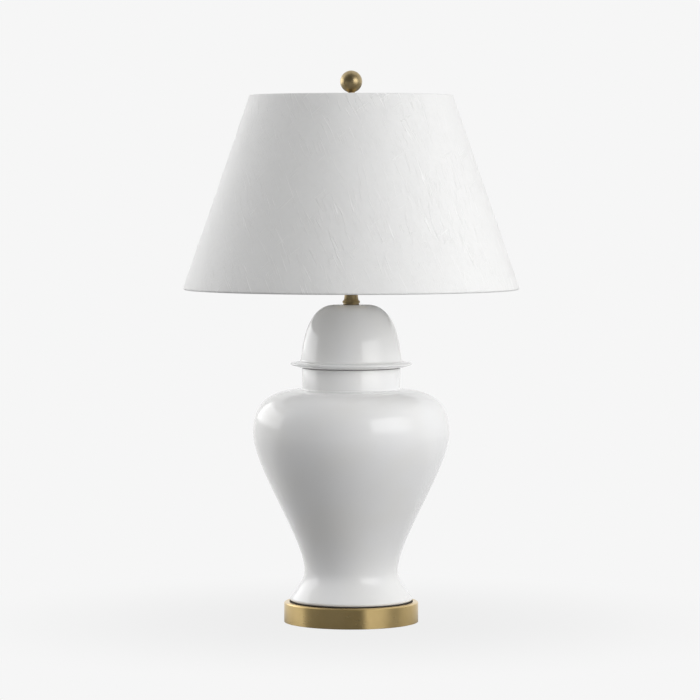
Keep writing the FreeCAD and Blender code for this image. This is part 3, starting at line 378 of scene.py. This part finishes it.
def fibre_family(finish, turn, across, along, keep, seed):
    """Thin streaks of 0 to 1.  turn is the fibres' direction in degrees from the cloth's level line, across
    and along are the noise's clouds per metre, keep is the level above which a cloud counts as fibre, and
    seed shifts the family so that no two look alike."""
    sway = finish.noise(finish.place(finish.cloth, shift=(seed, seed, 0)), 9.0, detail=1.0)
    u, v, _ = finish.split(finish.cloth)
    swayed = finish.join(u + (sway - 0.5) * FIBRE_SWAY, v + (sway - 0.5) * FIBRE_SWAY, 0.0)
    lens = finish.place(swayed, turn=(0, 0, -turn), shift=(seed, 0.37 * seed, 0))
    lens = finish.place(lens, scale=(along / across, 1, 1))
    return finish.noise(lens, across, detail=0.0).smooth(keep, keep + 0.05)


# %% Mix the linen
linen = Finish("shade_linen")
steep = fibre_family(linen, -64, 420.0, 17.0, 0.71, seed=3.1)
steeper = fibre_family(linen, -72, 520.0, 22.0, 0.715, seed=7.7)
across = fibre_family(linen, 38, 480.0, 26.0, 0.745, seed=12.9)
fine = fibre_family(linen, -60, 900.0, 40.0, 0.70, seed=21.3)
strands = steep.math("MAXIMUM", steeper).math("MAXIMUM", across * 0.8)
patchy = linen.noise(linen.place(linen.cloth, shift=(5, 9, 0)), 11.0, detail=1.0).smooth(0.32, 0.62)
strands = strands * (0.25 + patchy * 0.75)
cockle = linen.noise(linen.cloth, 120.0, detail=3.0, roughness=0.6)
slack = linen.noise(linen.cloth, 16.0, detail=1.0)
u, v, _ = linen.split(linen.cloth)
weave = (u * 7400.0).math("SINE") * (v * 7400.0).math("SINE")
tone = linen.mix(cockle, (0.780, 0.780, 0.775), (0.820, 0.820, 0.815))
tone = linen.mix(strands * 0.6, tone, (0.965, 0.965, 0.960))
relief = strands + fine * 0.35 + cockle * 0.9 + weave * 0.05
wavy = linen.bump(slack, 0.0012)
linen.surface(Base_Color=tone, Roughness=0.82 + cockle * 0.1, Normal=linen.bump(relief, 0.00036, normal=wavy),
              Specular_IOR_Level=0.25, Sheen_Weight=0.12, Sheen_Roughness=0.5)


# %% [markdown]
# ## Felt
# Felt is wool matted into a sheet.  It catches light at its edge as velvet does, which the sheen gives, and
# its tufts are a millimetre or less, so a bump is enough.

# %% Mix the felt
felt = Finish("felt")
tufts = felt.noise(felt.here, 1300.0, detail=4.0, roughness=0.7)
matted = felt.noise(felt.here, 90.0, detail=3.0)
felt.surface(Base_Color=felt.mix(matted, (0.012, 0.030, 0.019), (0.030, 0.060, 0.040)), Roughness=0.95,
             Normal=felt.bump(tufts, 0.0006), Sheen_Weight=0.5, Sheen_Roughness=0.6)


# %% [markdown]
# ## Put the finishes on the frame
# Every node of the frame came in with a plain material named after its finish.  The new ones take their
# places.

# %% Repaint every node
finishes = {f.material.name.split(".")[0]: f.material for f in (
    glaze, satin, antique, bright, iron, zinc, aluminium, solder, black, phenolic, housing, opal, glass,
    rubber, hardboard, paper, styrene, wire, linen, felt)}
for subpart in frame["record"]["subparts"]:
    for place in nodes[subpart["node"]].material_slots:
        place.material = finishes[subpart["material_slot"]]


# %% [markdown]
# ## Surfaces from numpy
# Nearly everything on this lamp is turned: a flat outline carried round the axis.  The outline is an array
# of (distance from the axis, height), and the surface is one formula over the whole grid of outline point
# and angle.

# %% Turn an outline into a mesh
SHARP = math.radians(40)


def new_piece(name, points, faces, body, material, corner_uv=None):
    """Makes a mesh object from arrays, with its finish, and lets it ride on a body."""
    mesh = bpy.data.meshes.new(name)
    mesh.from_pydata(points.reshape(-1, 3), [], faces.reshape(-1, faces.shape[-1]))
    if corner_uv is not None:
        uv = mesh.uv_layers.new(name="cut")
        uv.data.foreach_set("uv", corner_uv.astype(np.float32).ravel())
    mesh.shade_smooth()
    mesh.set_sharp_from_angle(angle=SHARP)
    piece = bpy.data.objects.new(name, mesh)
    bpy.context.scene.collection.objects.link(piece)
    mesh.materials.append(material)
    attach(piece, body)
    print("%s: %d points, %d faces" % (name, len(mesh.vertices), len(mesh.polygons)))
    return piece


def turned(outline, steps):
    """Points and faces of a closed outline carried round the axis.

    Point (i, j) is (r_i sin a_j, r_i cos a_j, z_i) with a_j = 2 pi j / steps, so angle 0 is at the back (+Y).
    The outline runs with the solid on its left, so that the faces point outwards."""
    r, z = outline[:, 0, None], outline[:, 1, None]
    a = 2 * np.pi * np.arange(steps)[None, :] / steps
    points = np.stack([r * np.sin(a), r * np.cos(a), np.broadcast_to(z, (len(outline), steps))], axis=-1)
    i, j = np.meshgrid(np.arange(len(outline)), np.arange(steps), indexing="ij")
    i_next, j_next = (i + 1) % len(outline), (j + 1) % steps
    corners = [(i, j), (i_next, j), (i_next, j_next), (i, j_next)]
    faces = np.stack([row * steps + column for row, column in corners], axis=-1)
    return points, faces


def bezier(start, pull_1, pull_2, end, count):
    """Cubic curve: the sum of the four points weighted by (1-t)^3, 3t(1-t)^2, 3t^2(1-t) and t^3."""
    t = np.linspace(0, 1, count)[:, None]
    start, pull_1, pull_2, end = (np.array(p, float) for p in (start, pull_1, pull_2, end))
    return (1 - t) ** 3 * start + 3 * t * (1 - t) ** 2 * pull_1 + 3 * t * t * (1 - t) * pull_2 + t ** 3 * end


def arc(centre, radius, start, stop, count):
    """Points centre + radius (cos a, sin a), with a from start to stop in degrees from level."""
    a = np.radians(np.linspace(start, stop, count))
    return np.array(centre, float) + radius * np.stack([np.cos(a), np.sin(a)], axis=-1)


def arc_through(start, middle, end, count):
    """The arc through three points: its centre is where their two perpendicular bisectors cross."""
    a, b, c = (np.array(p, float) for p in (start, middle, end))
    rows = np.stack([b - a, c - b])
    centre = np.linalg.solve(rows, [(b @ b - a @ a) / 2, (c @ c - b @ b) / 2])
    first, mid, last = (math.atan2(*(p - centre)[::-1]) for p in (a, b, c))
    turn = (last - first) % (2 * np.pi)
    if (mid - first) % (2 * np.pi) > turn:
        turn -= 2 * np.pi
    t = first + turn * np.linspace(0, 1, count)
    return centre + np.linalg.norm(a - centre) * np.stack([np.cos(t), np.sin(t)], axis=-1)


# %% [markdown]
# ## The jar
# A ginger jar is thrown on a wheel: a flared foot, a narrow waist, a high belly, a flat shoulder and an
# upright neck.  Three free curves run from the foot's round to the neck's fillet.  They join where the
# outline runs straight up, so no join shows.  The frame's own jar has this outline too, but its triangles
# are long and thin and they ripple in a glossy glaze, so the jar is turned again here on an even grid.  A
# thrown wall is never quite round: it gets some 0.2 mm of slow waver.

# %% Draw the jar's outline
foot_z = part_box("jar_body")[0].z / MM
rim_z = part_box("jar_body")[1].z / MM
FOOT_R, FOOT_ROUND, FOOT_FLARE = 83.6, 2.9, 33.5
WAIST_R, WAIST_Z = 63.8, foot_z + 41.0
BELLY_R, BELLY_Z = 134.0, foot_z + 230.5
SHOULDER_Z, NECK_R, NECK_FILLET, WALL = foot_z + 288.5, 67.1, 2.1, 6.0
FOOT_FLOOR, FOOT_RECESS, PIPE_HOLE, RECESS_TOP_R, RECESS_R = foot_z + 10.0, foot_z + 3.0, 6.4, 62.7, 65.7
# How far the curves' pulls reach, as shares of their height, or for the last one of its width
FLARE_PULL, WAIST_IN, WAIST_OUT, BELLY_IN, BELLY_OUT, SHOULDER_IN = 0.42, 0.347, 0.23, 0.254, 0.93, 0.32

flank = BELLY_Z - WAIST_Z
lean = math.radians(FOOT_FLARE)
flare_r = FOOT_R - FOOT_ROUND + FOOT_ROUND * math.cos(lean)
flare_z = foot_z + FOOT_ROUND + FOOT_ROUND * math.sin(lean)
drop = WAIST_Z - flare_z
neck_start = NECK_R + NECK_FILLET
in_neck, in_belly, in_waist = NECK_R - WALL, BELLY_R - WALL, WAIST_R - WALL
in_shoulder = SHOULDER_Z - WALL

outside = [
    arc((FOOT_R - FOOT_ROUND, foot_z + FOOT_ROUND), FOOT_ROUND, -90, FOOT_FLARE, 14),
    bezier((flare_r, flare_z),
           (flare_r - FLARE_PULL * drop * math.sin(lean), flare_z + FLARE_PULL * drop * math.cos(lean)),
           (WAIST_R, WAIST_Z - WAIST_IN * drop), (WAIST_R, WAIST_Z), 26)[1:],
    bezier((WAIST_R, WAIST_Z), (WAIST_R, WAIST_Z + WAIST_OUT * flank), (BELLY_R, BELLY_Z - BELLY_IN * flank),
           (BELLY_R, BELLY_Z), 90)[1:],
    bezier((BELLY_R, BELLY_Z), (BELLY_R, BELLY_Z + BELLY_OUT * (SHOULDER_Z - BELLY_Z)),
           (neck_start + SHOULDER_IN * (BELLY_R - neck_start), SHOULDER_Z), (neck_start, SHOULDER_Z), 60)[1:],
    arc((neck_start, SHOULDER_Z + NECK_FILLET), NECK_FILLET, 270, 180, 9)[1:],
    np.array([(NECK_R, rim_z - 0.8), (NECK_R - 0.25, rim_z - 0.2), (NECK_R - 0.8, rim_z)])]
inside = [
    np.array([(in_neck, rim_z), (in_neck, in_shoulder)]),
    bezier((in_neck, in_shoulder), (in_neck + SHOULDER_IN * (in_belly - in_neck), in_shoulder),
           (in_belly, BELLY_Z + BELLY_OUT * (in_shoulder - BELLY_Z)), (in_belly, BELLY_Z), 24)[1:],
    bezier((in_belly, BELLY_Z), (in_belly, BELLY_Z - BELLY_IN * flank),
           (in_waist, WAIST_Z + WAIST_OUT * flank), (in_waist, WAIST_Z), 24)[1:],
    np.array([(in_waist, FOOT_FLOOR), (PIPE_HOLE, FOOT_FLOOR), (PIPE_HOLE, FOOT_RECESS),
              (RECESS_TOP_R, FOOT_RECESS), (RECESS_R, foot_z)])]
jar_outline = np.concatenate(outside + inside) * MM
widths = (2 * FOOT_R, 2 * WAIST_R, 2 * BELLY_R)
print("jar: foot %.1f mm wide, waist %.1f, belly %.1f" % widths)

# %% Turn the jar
JAR_STEPS = 256
WAVER = 0.15 * MM
jar_points, jar_faces = turned(jar_outline, JAR_STEPS)
around = np.arctan2(jar_points[..., 0], jar_points[..., 1])
up = (jar_points[..., 2] - foot_z * MM) / (rim_z * MM - foot_z * MM)
belly_only = np.sin(np.pi * np.clip(up, 0, 1)) ** 2
waver = WAVER * belly_only * (np.sin(2 * around + 0.8) + 0.5 * np.sin(3 * around + 5 * up))
jar_points[..., :2] *= 1 + (waver / np.hypot(jar_points[..., 0], jar_points[..., 1]))[..., None]
jar = new_piece("jar", jar_points, jar_faces, "lamp", glaze.material)
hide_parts("jar_body")


# %% [markdown]
# ## The lid
# The lid is a bell with a thin brim, thrown in one piece, and a collar below keeps it in the jar's neck.  It
# is turned in the same way.  The brim's edge is a small half round, which catches a bright line.

# %% Turn the lid
LID_STEPS = 224
LID_GAP, COLLAR_GAP, COLLAR_H = 0.8, 0.8, 12.0
seat_z = rim_z + LID_GAP
top_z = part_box("jar_lid")[1].z / MM
DOME_R, DOME_Z, DOME_LEAN, COVE = 68.7, seat_z + 11.8, 8.1, 3.4
BRIM_R, BRIM_ROUND, TIP_H, LID_WALL, FLAT_R, HOLE_R = 83.0, 1.5, 5.2, 5.0, 12.0, 6.4
tip = (BRIM_R - BRIM_ROUND, seat_z + TIP_H)
rise = top_z - DOME_Z
collar = NECK_R - WALL - COLLAR_GAP
collar_in, collar_z = collar - LID_WALL, seat_z - COLLAR_H
in_r, in_z, in_top = DOME_R - LID_WALL, DOME_Z + LID_WALL, top_z - LID_WALL
over, under = math.radians(12), math.radians(22)
brim_over = (tip[0] + BRIM_ROUND * math.sin(over), tip[1] + BRIM_ROUND * math.cos(over))
brim_under = (tip[0] + BRIM_ROUND * math.sin(under), tip[1] - BRIM_ROUND * math.cos(under))
lid_outline = np.concatenate([
    arc_through((NECK_R + 1.0, seat_z), (NECK_R + 0.55 * (BRIM_R - NECK_R), seat_z + 0.3 * TIP_H),
                brim_under, 14),
    arc_through(brim_under, (BRIM_R, tip[1]), brim_over, 12)[1:],
    np.linspace(brim_over, (DOME_R + COVE, DOME_Z - COVE), 8)[1:],
    arc_through((DOME_R + COVE, DOME_Z - COVE), (DOME_R + 0.3 * COVE, DOME_Z - 0.72 * COVE),
                (DOME_R, DOME_Z), 8)[1:],
    bezier((DOME_R, DOME_Z), (DOME_R - DOME_LEAN, DOME_Z + 1.12 * rise),
           (FLAT_R + 0.21 * (DOME_R - FLAT_R), top_z), (FLAT_R, top_z), 80)[1:],
    np.array([(HOLE_R, top_z), (HOLE_R, in_top), (FLAT_R, in_top)]),
    bezier((FLAT_R, in_top), (FLAT_R + 0.21 * (in_r - FLAT_R), in_top),
           (in_r - 0.9 * DOME_LEAN, in_z + 1.05 * (in_top - in_z)), (in_r, in_z), 26)[1:],
    np.array([(collar_in, seat_z + LID_WALL), (collar_in, collar_z), (collar, collar_z),
              (collar, seat_z)])]) * MM
lid_points, lid_faces = turned(lid_outline, LID_STEPS)
lid = new_piece("lid", lid_points, lid_faces, "lamp", glaze.material)
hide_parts("jar_lid")


# %% [markdown]
# ## The shade's cloth
# The cloth is one skin, 0.6 mm thick.  At each edge it is rolled round a wire ring, turned in and glued down
# over the liner.  Its outline is therefore one closed line: up the outside, round the top ring, down the
# hem, back along the hem's other face, down the hidden side, and the same at the bottom.
#
# Distances here are along the slope ("along") and into the wall ("inward").  The same two directions also
# give the flat cut: on the cutting table the cone is a ring sector, where a point's radius is its distance
# from the cone's tip, and its angle is the angle round the lamp times the sine of the slope.

# %% Draw the wall and its rolled edges
shade_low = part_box("shade_cover")[0].z / MM
shade_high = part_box("shade_cover")[1].z / MM
BOTTOM_R, TOP_R = 229.3, 137.8
COVER, LINER, RING, ROLL_IN, ROLL_OUT, HEM_LEAN, HEM_FLAT = 0.6, 0.5, 1.3, 1.6, 2.2, 14.0, 4.0
WALL_ROWS, ROLL_ROWS = 50, 14
shade_h = shade_high - shade_low
slope = math.atan2(BOTTOM_R - TOP_R, shade_h)
uphill = np.array([-math.sin(slope), math.cos(slope)])
inwards = np.array([-math.cos(slope), -math.sin(slope)])


def ring_centre(top):
    """Centre of the wire inside a rolled edge."""
    z = shade_low + (shade_h - ROLL_OUT if top else ROLL_OUT)
    r = BOTTOM_R - (z - shade_low) * math.tan(slope) - ROLL_OUT / math.cos(slope)
    return np.array([r, z])


def at_edge(top, along, inward):
    """Points so far beyond the ring's centre towards the edge, and so far in from the cloth's outside."""
    sign = 1 if top else -1
    along, inward = np.atleast_1d(along), np.atleast_1d(inward)
    return ring_centre(top) + sign * along[:, None] * uphill + (inward - ROLL_OUT)[:, None] * inwards


def roll(top, radius):
    """The arc of cloth round the ring: half a turn and the hem's lean, from the outside inwards."""
    turn = np.radians(np.linspace(0, 180 + HEM_LEAN, ROLL_ROWS))
    return at_edge(top, radius * np.sin(turn), ROLL_OUT - radius * np.cos(turn))


def hem(top, near):
    """The hem's face from its landing on the liner to its free end; near is the face towards the liner."""
    radius, level = (ROLL_IN, COVER + LINER) if near else (ROLL_OUT, 2 * COVER + LINER)
    lean = math.radians(HEM_LEAN)
    landing = -radius * math.sin(lean) - (ROLL_OUT + radius * math.cos(lean) - level) / math.tan(lean)
    run = (ROLL_OUT + ROLL_IN * math.cos(lean) - COVER - LINER) / math.tan(lean)
    end = -(ROLL_IN * math.sin(lean) + run + HEM_FLAT)
    return at_edge(top, np.array([landing, end]), np.array([level, level]))


outer_low, outer_high = roll(False, ROLL_OUT), roll(True, ROLL_OUT)
inner_low, inner_high = roll(False, ROLL_IN), roll(True, ROLL_IN)
cloth_outline = np.concatenate([
    hem(False, False)[::-1], outer_low[::-1],
    np.linspace(outer_low[0], outer_high[0], WALL_ROWS)[1:-1],
    outer_high, hem(True, False), hem(True, True)[::-1], inner_high[::-1],
    np.linspace(inner_high[0], inner_low[0], WALL_ROWS)[1:-1],
    inner_low, hem(False, True)]) * MM
print("cloth outline: %d points, slope %.1f degrees" % (len(cloth_outline), math.degrees(slope)))

# %% Turn the cloth and lay its flat cut
CLOTH_STEPS = 300
cloth_points, cloth_faces = turned(cloth_outline, CLOTH_STEPS)
tip_z = (shade_low + BOTTOM_R / math.tan(slope)) * MM
run_of = np.hypot(cloth_outline[:, 0], tip_z - cloth_outline[:, 1])
row, column = np.meshgrid(np.arange(len(cloth_outline)), np.arange(CLOTH_STEPS), indexing="ij")
corner_row = np.stack([row, row + 1, row + 1, row], axis=-1) % len(cloth_outline)
corner_column = np.stack([column, column, column + 1, column + 1], axis=-1)
corner_angle = corner_column * 2 * np.pi / CLOTH_STEPS - np.pi
flat_angle = corner_angle * math.sin(slope)
flat_radius = run_of[corner_row]
cloth_uv = -flat_radius[..., None] * np.stack([np.sin(flat_angle), np.cos(flat_angle)], axis=-1)
cloth = new_piece("shade_cloth", cloth_points, cloth_faces, "shade", linen.material, cloth_uv)

# %% [markdown]
# The three spider arms run through the hem to the top ring, and the cloth is snipped round each of them.  A
# Boolean modifier cuts each snip with a rod a little thicker than the arm, and the result becomes the mesh.

# %% Snip the hem round the arms
ROD_SIDES = 24


def rod(start, end, radius):
    """Points and faces of a closed rod.  Each end is a ring, at the end plus radius (u cos a + v sin a),
    where u and v stand square to the rod and to each other, and one flat cap closes it."""
    along = (end - start) / np.linalg.norm(end - start)
    u = np.cross(along, [0, 0, 1.0])
    u /= np.linalg.norm(u)
    v = np.cross(along, u)
    a = 2 * np.pi * np.arange(ROD_SIDES)[:, None] / ROD_SIDES
    circle = radius * (np.cos(a) * u + np.sin(a) * v)
    ring = list(range(ROD_SIDES))
    sides = [(k, (k + 1) % ROD_SIDES, (k + 1) % ROD_SIDES + ROD_SIDES, k + ROD_SIDES) for k in ring]
    caps = [tuple(ring[::-1]), tuple(k + ROD_SIDES for k in ring)]
    return np.concatenate([start + circle, end + circle]), sides + caps


hub_level = 0.5 * (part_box("shade_hub")[0].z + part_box("shade_hub")[1].z) / MM
ring_r, ring_z = ring_centre(True)
ARM_RAISED, ARM_BEND, ARM_R, SLIP, WELD_GAP = 24.0, 12.0, 1.5, 0.3, 0.05
arm_rise = ring_z - hub_level
reach = math.hypot(ARM_RAISED, ARM_BEND - arm_rise)
bend = math.asin(ARM_BEND / reach) - math.atan2(ARM_BEND - arm_rise, ARM_RAISED)
bend_end = np.array([ring_r - ARM_RAISED + ARM_BEND * math.sin(bend),
                     hub_level + ARM_BEND * (1 - math.cos(bend))])
aim = np.array([ring_r, ring_z]) - bend_end
arm_tip = bend_end + aim * (1 - (RING + WELD_GAP) / np.linalg.norm(aim))
for turn in (90, 210, 330):
    spoke = np.array([math.cos(math.radians(turn)), math.sin(math.radians(turn)), 0])
    ends = [(p[0] * spoke + np.array([0, 0, p[1]])) * MM for p in (bend_end, arm_tip)]
    points, faces = rod(*ends, (ARM_R + SLIP) * MM)
    cutter_mesh = bpy.data.meshes.new("snip")
    cutter_mesh.from_pydata(points, [], faces)
    cutter = bpy.data.objects.new("snip", cutter_mesh)
    bpy.context.scene.collection.objects.link(cutter)
    snip = cloth.modifiers.new("snip", "BOOLEAN")
    snip.operation, snip.solver, snip.object = "DIFFERENCE", "EXACT", cutter
    graph = bpy.context.evaluated_depsgraph_get()
    cut_mesh = bpy.data.meshes.new_from_object(cloth.evaluated_get(graph))
    cloth.modifiers.clear()
    cloth.data = cut_mesh
    bpy.data.objects.remove(cutter)
cloth.data.name = "shade_cloth"
cloth.data.set_sharp_from_angle(angle=SHARP)
print("snipped cloth: %d points, %d faces" % (len(cloth.data.vertices), len(cloth.data.polygons)))

# %% [markdown]
# The cut's two ends meet at the back, where one laps over the other.  The lap is a strip 12 mm wide that
# follows the wall and stands half a millimetre proud of it.

# %% Lap the seam at the back
LAP, LAP_T, SEAM_ROWS = 12.0, 0.5, 60
share = np.linspace(0.004, 0.996, SEAM_ROWS)[:, None]
line = outer_low[0] + (outer_high[0] - outer_low[0]) * share
section_x = np.array([-0.5, -0.46, 0.46, 0.5, 0.5, -0.5]) * LAP
section_out = np.array([0.05, LAP_T, LAP_T, 0.05, 0.02, 0.02])
seam_a = section_x[None, :] / line[:, :1]
seam_r = line[:, :1] - section_out[None, :] * inwards[0]
seam_z = line[:, 1:] - section_out[None, :] * inwards[1]
seam_points = np.stack([seam_r * np.sin(seam_a), seam_r * np.cos(seam_a), seam_z], axis=-1) * MM
k, m = np.meshgrid(np.arange(SEAM_ROWS - 1), np.arange(6), indexing="ij")
strips = np.stack([k * 6 + m, k * 6 + (m + 1) % 6, (k + 1) * 6 + (m + 1) % 6, (k + 1) * 6 + m], axis=-1)
last = (SEAM_ROWS - 1) * 6
end_caps = np.array([[0, 5, 4, 3], [0, 3, 2, 1], [last, last + 3, last + 4, last + 5],
                     [last, last + 1, last + 2, last + 3]])
seam_faces = np.concatenate([strips.reshape(-1, 4), end_caps])
seam_uv = seam_points.reshape(-1, 3)[seam_faces][..., [0, 2]]
seam = new_piece("shade_seam", seam_points, seam_faces, "shade", linen.material, seam_uv)

# %% Work out the flat cut's size and hide the frame's cover
ROLL_MIDDLE, HEM_LENGTH = (ROLL_IN + ROLL_OUT) / 2, 14.0
slant = np.linalg.norm(outer_high[0] - outer_low[0]) + 2 * (math.pi * ROLL_MIDDLE + HEM_LENGTH)
mean_r = (BOTTOM_R + TOP_R) / 2
cut_area = (2 * math.pi * mean_r * slant) * MM * MM
tip_to_low = BOTTOM_R / math.sin(slope)
half_angle = math.pi * math.sin(slope)
cut_w = 2 * tip_to_low * math.sin(half_angle) * MM
cut_l = (tip_to_low - TOP_R / math.sin(slope) * math.cos(half_angle)) * MM
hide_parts("shade_cover")
print("cut: %.3f x %.3f m, %.3f m2" % (cut_w, cut_l, cut_area))


# %% [markdown]
# ## The felt disc
# The felt is a disc glued under the base.  Scissors never cut a perfect circle, so its edge wanders by a
# fraction of a millimetre, and the edge is rounded.

# %% Cut the felt
FELT_STEPS, FELT_WANDER, FELT_ROUND = 180, 0.0016, 0.5
felt_r, felt_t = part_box("felt_pad")[1].x / MM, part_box("felt_pad")[1].z / MM
felt_outline = np.concatenate([
    np.array([(0.05, 0.0), (30, 0.0), (60, 0.0), (felt_r - FELT_ROUND, 0.0)]),
    arc((felt_r - 0.55, FELT_ROUND), FELT_ROUND, -90, 0, 5)[1:],
    arc((felt_r - 0.6, felt_t - FELT_ROUND), FELT_ROUND, 0, 90, 5),
    np.array([(60, felt_t), (30, felt_t), (0.05, felt_t)])]) * MM
felt_points, felt_faces = turned(felt_outline, FELT_STEPS)
around = np.arctan2(felt_points[..., 0], felt_points[..., 1])
out_share = (felt_points[..., 0] ** 2 + felt_points[..., 1] ** 2) / (felt_r * MM) ** 2
wander = 1 + FELT_WANDER * np.sin(7 * around + 1) * np.sin(11 * around) * out_share
felt_points[..., :2] *= wander[..., None]
felt_disc = new_piece("felt_disc", felt_points, felt_faces, "lamp", felt.material)
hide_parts("felt_pad")


# %% [markdown]
# ## Floor
# The photograph's ground is one even pale grey without a horizon, and the lamp stands on it.  The floor
# shows that grey to the camera by itself, and near the base a tenth of it is plain paint that the lamp can
# shade.  Shiny parts see the pale floor only behind the lamp: in front, where the camera stood, the studio
# was dark.  Light that bounces off the floor sees plain grey paint everywhere.

# %% Lay the floor
GROUND, FLOOR_PAINT, PAINT_SHARE, HALF = 0.922, 0.24, 0.1, 7.0
floor_material = bpy.data.materials.new("floor")
floor_material.use_nodes = True
floor = Graph(floor_material.node_tree)
spot = floor.add("ShaderNodeTexCoord", {}, {}, "Object")
from_axis = floor.add("ShaderNodeVectorMath", {"operation": "LENGTH"}, {0: spot}, "Value")
_, depth, _ = floor.split(spot)
near = 1 - from_axis.smooth(0.12, 0.6)
path = floor.add("ShaderNodeLightPath", {}, {}, "Is Camera Ray")
mirrored = Value(floor, path.socket.node.outputs["Is Glossy Ray"])
seen_through = Value(floor, path.socket.node.outputs["Is Transmission Ray"])
lit = path.math("MAXIMUM", seen_through).math("MAXIMUM", mirrored * depth.smooth(-0.1, 0.3))
paint_bsdf = floor.add("ShaderNodeBsdfDiffuse", {}, {"Color": (FLOOR_PAINT, FLOOR_PAINT, FLOOR_PAINT, 1)})
glow = floor.add("ShaderNodeEmission", {}, {"Color": (1, 1, 1, 1), "Strength": GROUND})
painted = 1 - lit * (1 - near * PAINT_SHARE)
floor_mix = floor.add("ShaderNodeMixShader", {}, {0: painted, 1: glow, 2: paint_bsdf})
floor.add("ShaderNodeOutputMaterial", {}, {"Surface": floor_mix})

floor_corners = [(-HALF, -HALF, 0), (HALF, -HALF, 0), (HALF, HALF, 0), (-HALF, HALF, 0)]
floor_mesh = bpy.data.meshes.new("floor")
floor_mesh.from_pydata(floor_corners, [], [(0, 1, 2, 3)])
floor_mesh.materials.append(floor_material)
floor_object = bpy.data.objects.new("floor", floor_mesh)
bpy.context.scene.collection.objects.link(floor_object)
print("floor %.0f m wide" % (2 * HALF))


# %% [markdown]
# ## Light
# The reflections tell where the lights stood.  On the brass ring a bright band starts sharply 20 degrees to
# the right of the camera, is brightest near 45 and fades out by 90; on the left a second, dimmer box is full
# from 92 to 145.  A surface turned by one angle turns its reflection by twice that, which is how those
# angles were read.  The room behind the camera was dark.  A softbox is brightest in its middle, so each
# one's strength is a formula over the azimuth and the height of the point that glows.

# %% Softboxes
def softbox(name, azimuth, distance, low, high, width, radiance, sides, ends, spill):
    """A rectangular lamp that faces the lamp's axis, from height low to high.  azimuth is in degrees from
    the camera, to the right.  A surface of radiance L and area A gives off pi A L watts.  sides holds four
    azimuths: where it starts to brighten, is full, starts to fade and is down to its spill.  ends holds the
    same four as heights in metres."""
    light = bpy.data.lights.new(name, "AREA")
    light.shape, light.size, light.size_y = "RECTANGLE", width, high - low
    light.energy = math.pi * width * (high - low) * radiance
    light.use_nodes = True
    screen = Graph(light.node_tree)
    x, y, z = screen.split(screen.add("ShaderNodeNewGeometry", {}, {}, "Position"))
    turn = x.math("ARCTAN2", y * -1) * (180 / math.pi)
    bright = turn.smooth(*sides[:2]) * (1 - turn.smooth(*sides[2:]))
    bright = bright * z.smooth(*ends[:2]) * (1 - z.smooth(*ends[2:]))
    strength = spill + bright * (1 - spill)
    glow = screen.add("ShaderNodeEmission", {}, {"Color": (1, 1, 1, 1), "Strength": strength})
    screen.add("ShaderNodeOutputLight", {}, {"Surface": glow})
    lamp = bpy.data.objects.new(name, light)
    bpy.context.scene.collection.objects.link(lamp)
    a = math.radians(azimuth)
    lamp.location = (distance * math.sin(a), -distance * math.cos(a), (low + high) / 2)
    lamp.rotation_euler = (math.radians(90), 0, a)
    lamp.visible_camera = False
    print("%s: %.1f W" % (name, light.energy))
    return lamp


KEY, RIM = 2.85, 1.7
softbox("key", 52, 1.8, 0.05, 1.9, 2.5, KEY, (21, 27, 52, 88), (0.2, 0.62, 1.3, 1.9), 0.02)
softbox("rim", -118, 1.6, 0.3, 1.45, 2.0, RIM, (-170, -145, -92, -87), (0.35, 0.5, 1.1, 1.3), 0.05)

# %% [markdown]
# Two more lamps bounce off screens beside the softboxes.  They are too spread out to show as highlights, so
# shiny surfaces don't see them; they only lift the matt colour of the right and of the far left.

# %% Bounce screens
KEY_FILL, RIM_FILL = 2.4, 1.7
for name, middle, high, radiance in (("key_bounce", 48, 0.75, KEY_FILL), ("rim_bounce", -110, 1.5, RIM_FILL)):
    sides = (middle - 40, middle, middle, middle + 40)
    ends = (-0.5, 0.3 * high, 0.6 * high, 2 * high)
    bounce = softbox(name, middle, 1.8, 0.05, high, 1.5, radiance, sides, ends, 0.3)
    bounce.visible_glossy = False

# %% [markdown]
# The rest of the studio is the world: a soft grey that is brighter behind the lamp.  Shiny surfaces see it
# dark in front and as pale as the ground behind, and the camera sees the ground's grey everywhere.

# %% The room around
SKY_LEVEL, SKY_BACK = 0.455, 0.56
MIRROR_FRONT = 0.15
world = bpy.data.worlds.new("studio")
bpy.context.scene.world = world
world.use_nodes = True
room = Graph(world.node_tree)
direction = room.add("ShaderNodeTexCoord", {}, {}, "Generated")
_, back, _ = room.split(direction)
light_path = room.add("ShaderNodeLightPath", {}, {}, "Is Camera Ray")
mirror = Value(room, light_path.socket.node.outputs["Is Glossy Ray"]).math(
    "MAXIMUM", Value(room, light_path.socket.node.outputs["Is Transmission Ray"]))
behind = back.smooth(-0.35, 0.25)
soft_level = SKY_LEVEL + behind * SKY_BACK
mirror_level = MIRROR_FRONT + behind * (GROUND - MIRROR_FRONT)
level = soft_level + mirror * (mirror_level - soft_level)
level = level + light_path * (GROUND - level)
grey = room.add("ShaderNodeBackground", {}, {"Color": (1, 1, 1, 1), "Strength": level})
room.add("ShaderNodeOutputWorld", {}, {"Surface": grey})
bpy.context.scene.view_settings.view_transform = "Standard"
print("room: %.2f in front, %.2f behind" % (SKY_LEVEL, SKY_LEVEL + SKY_BACK))
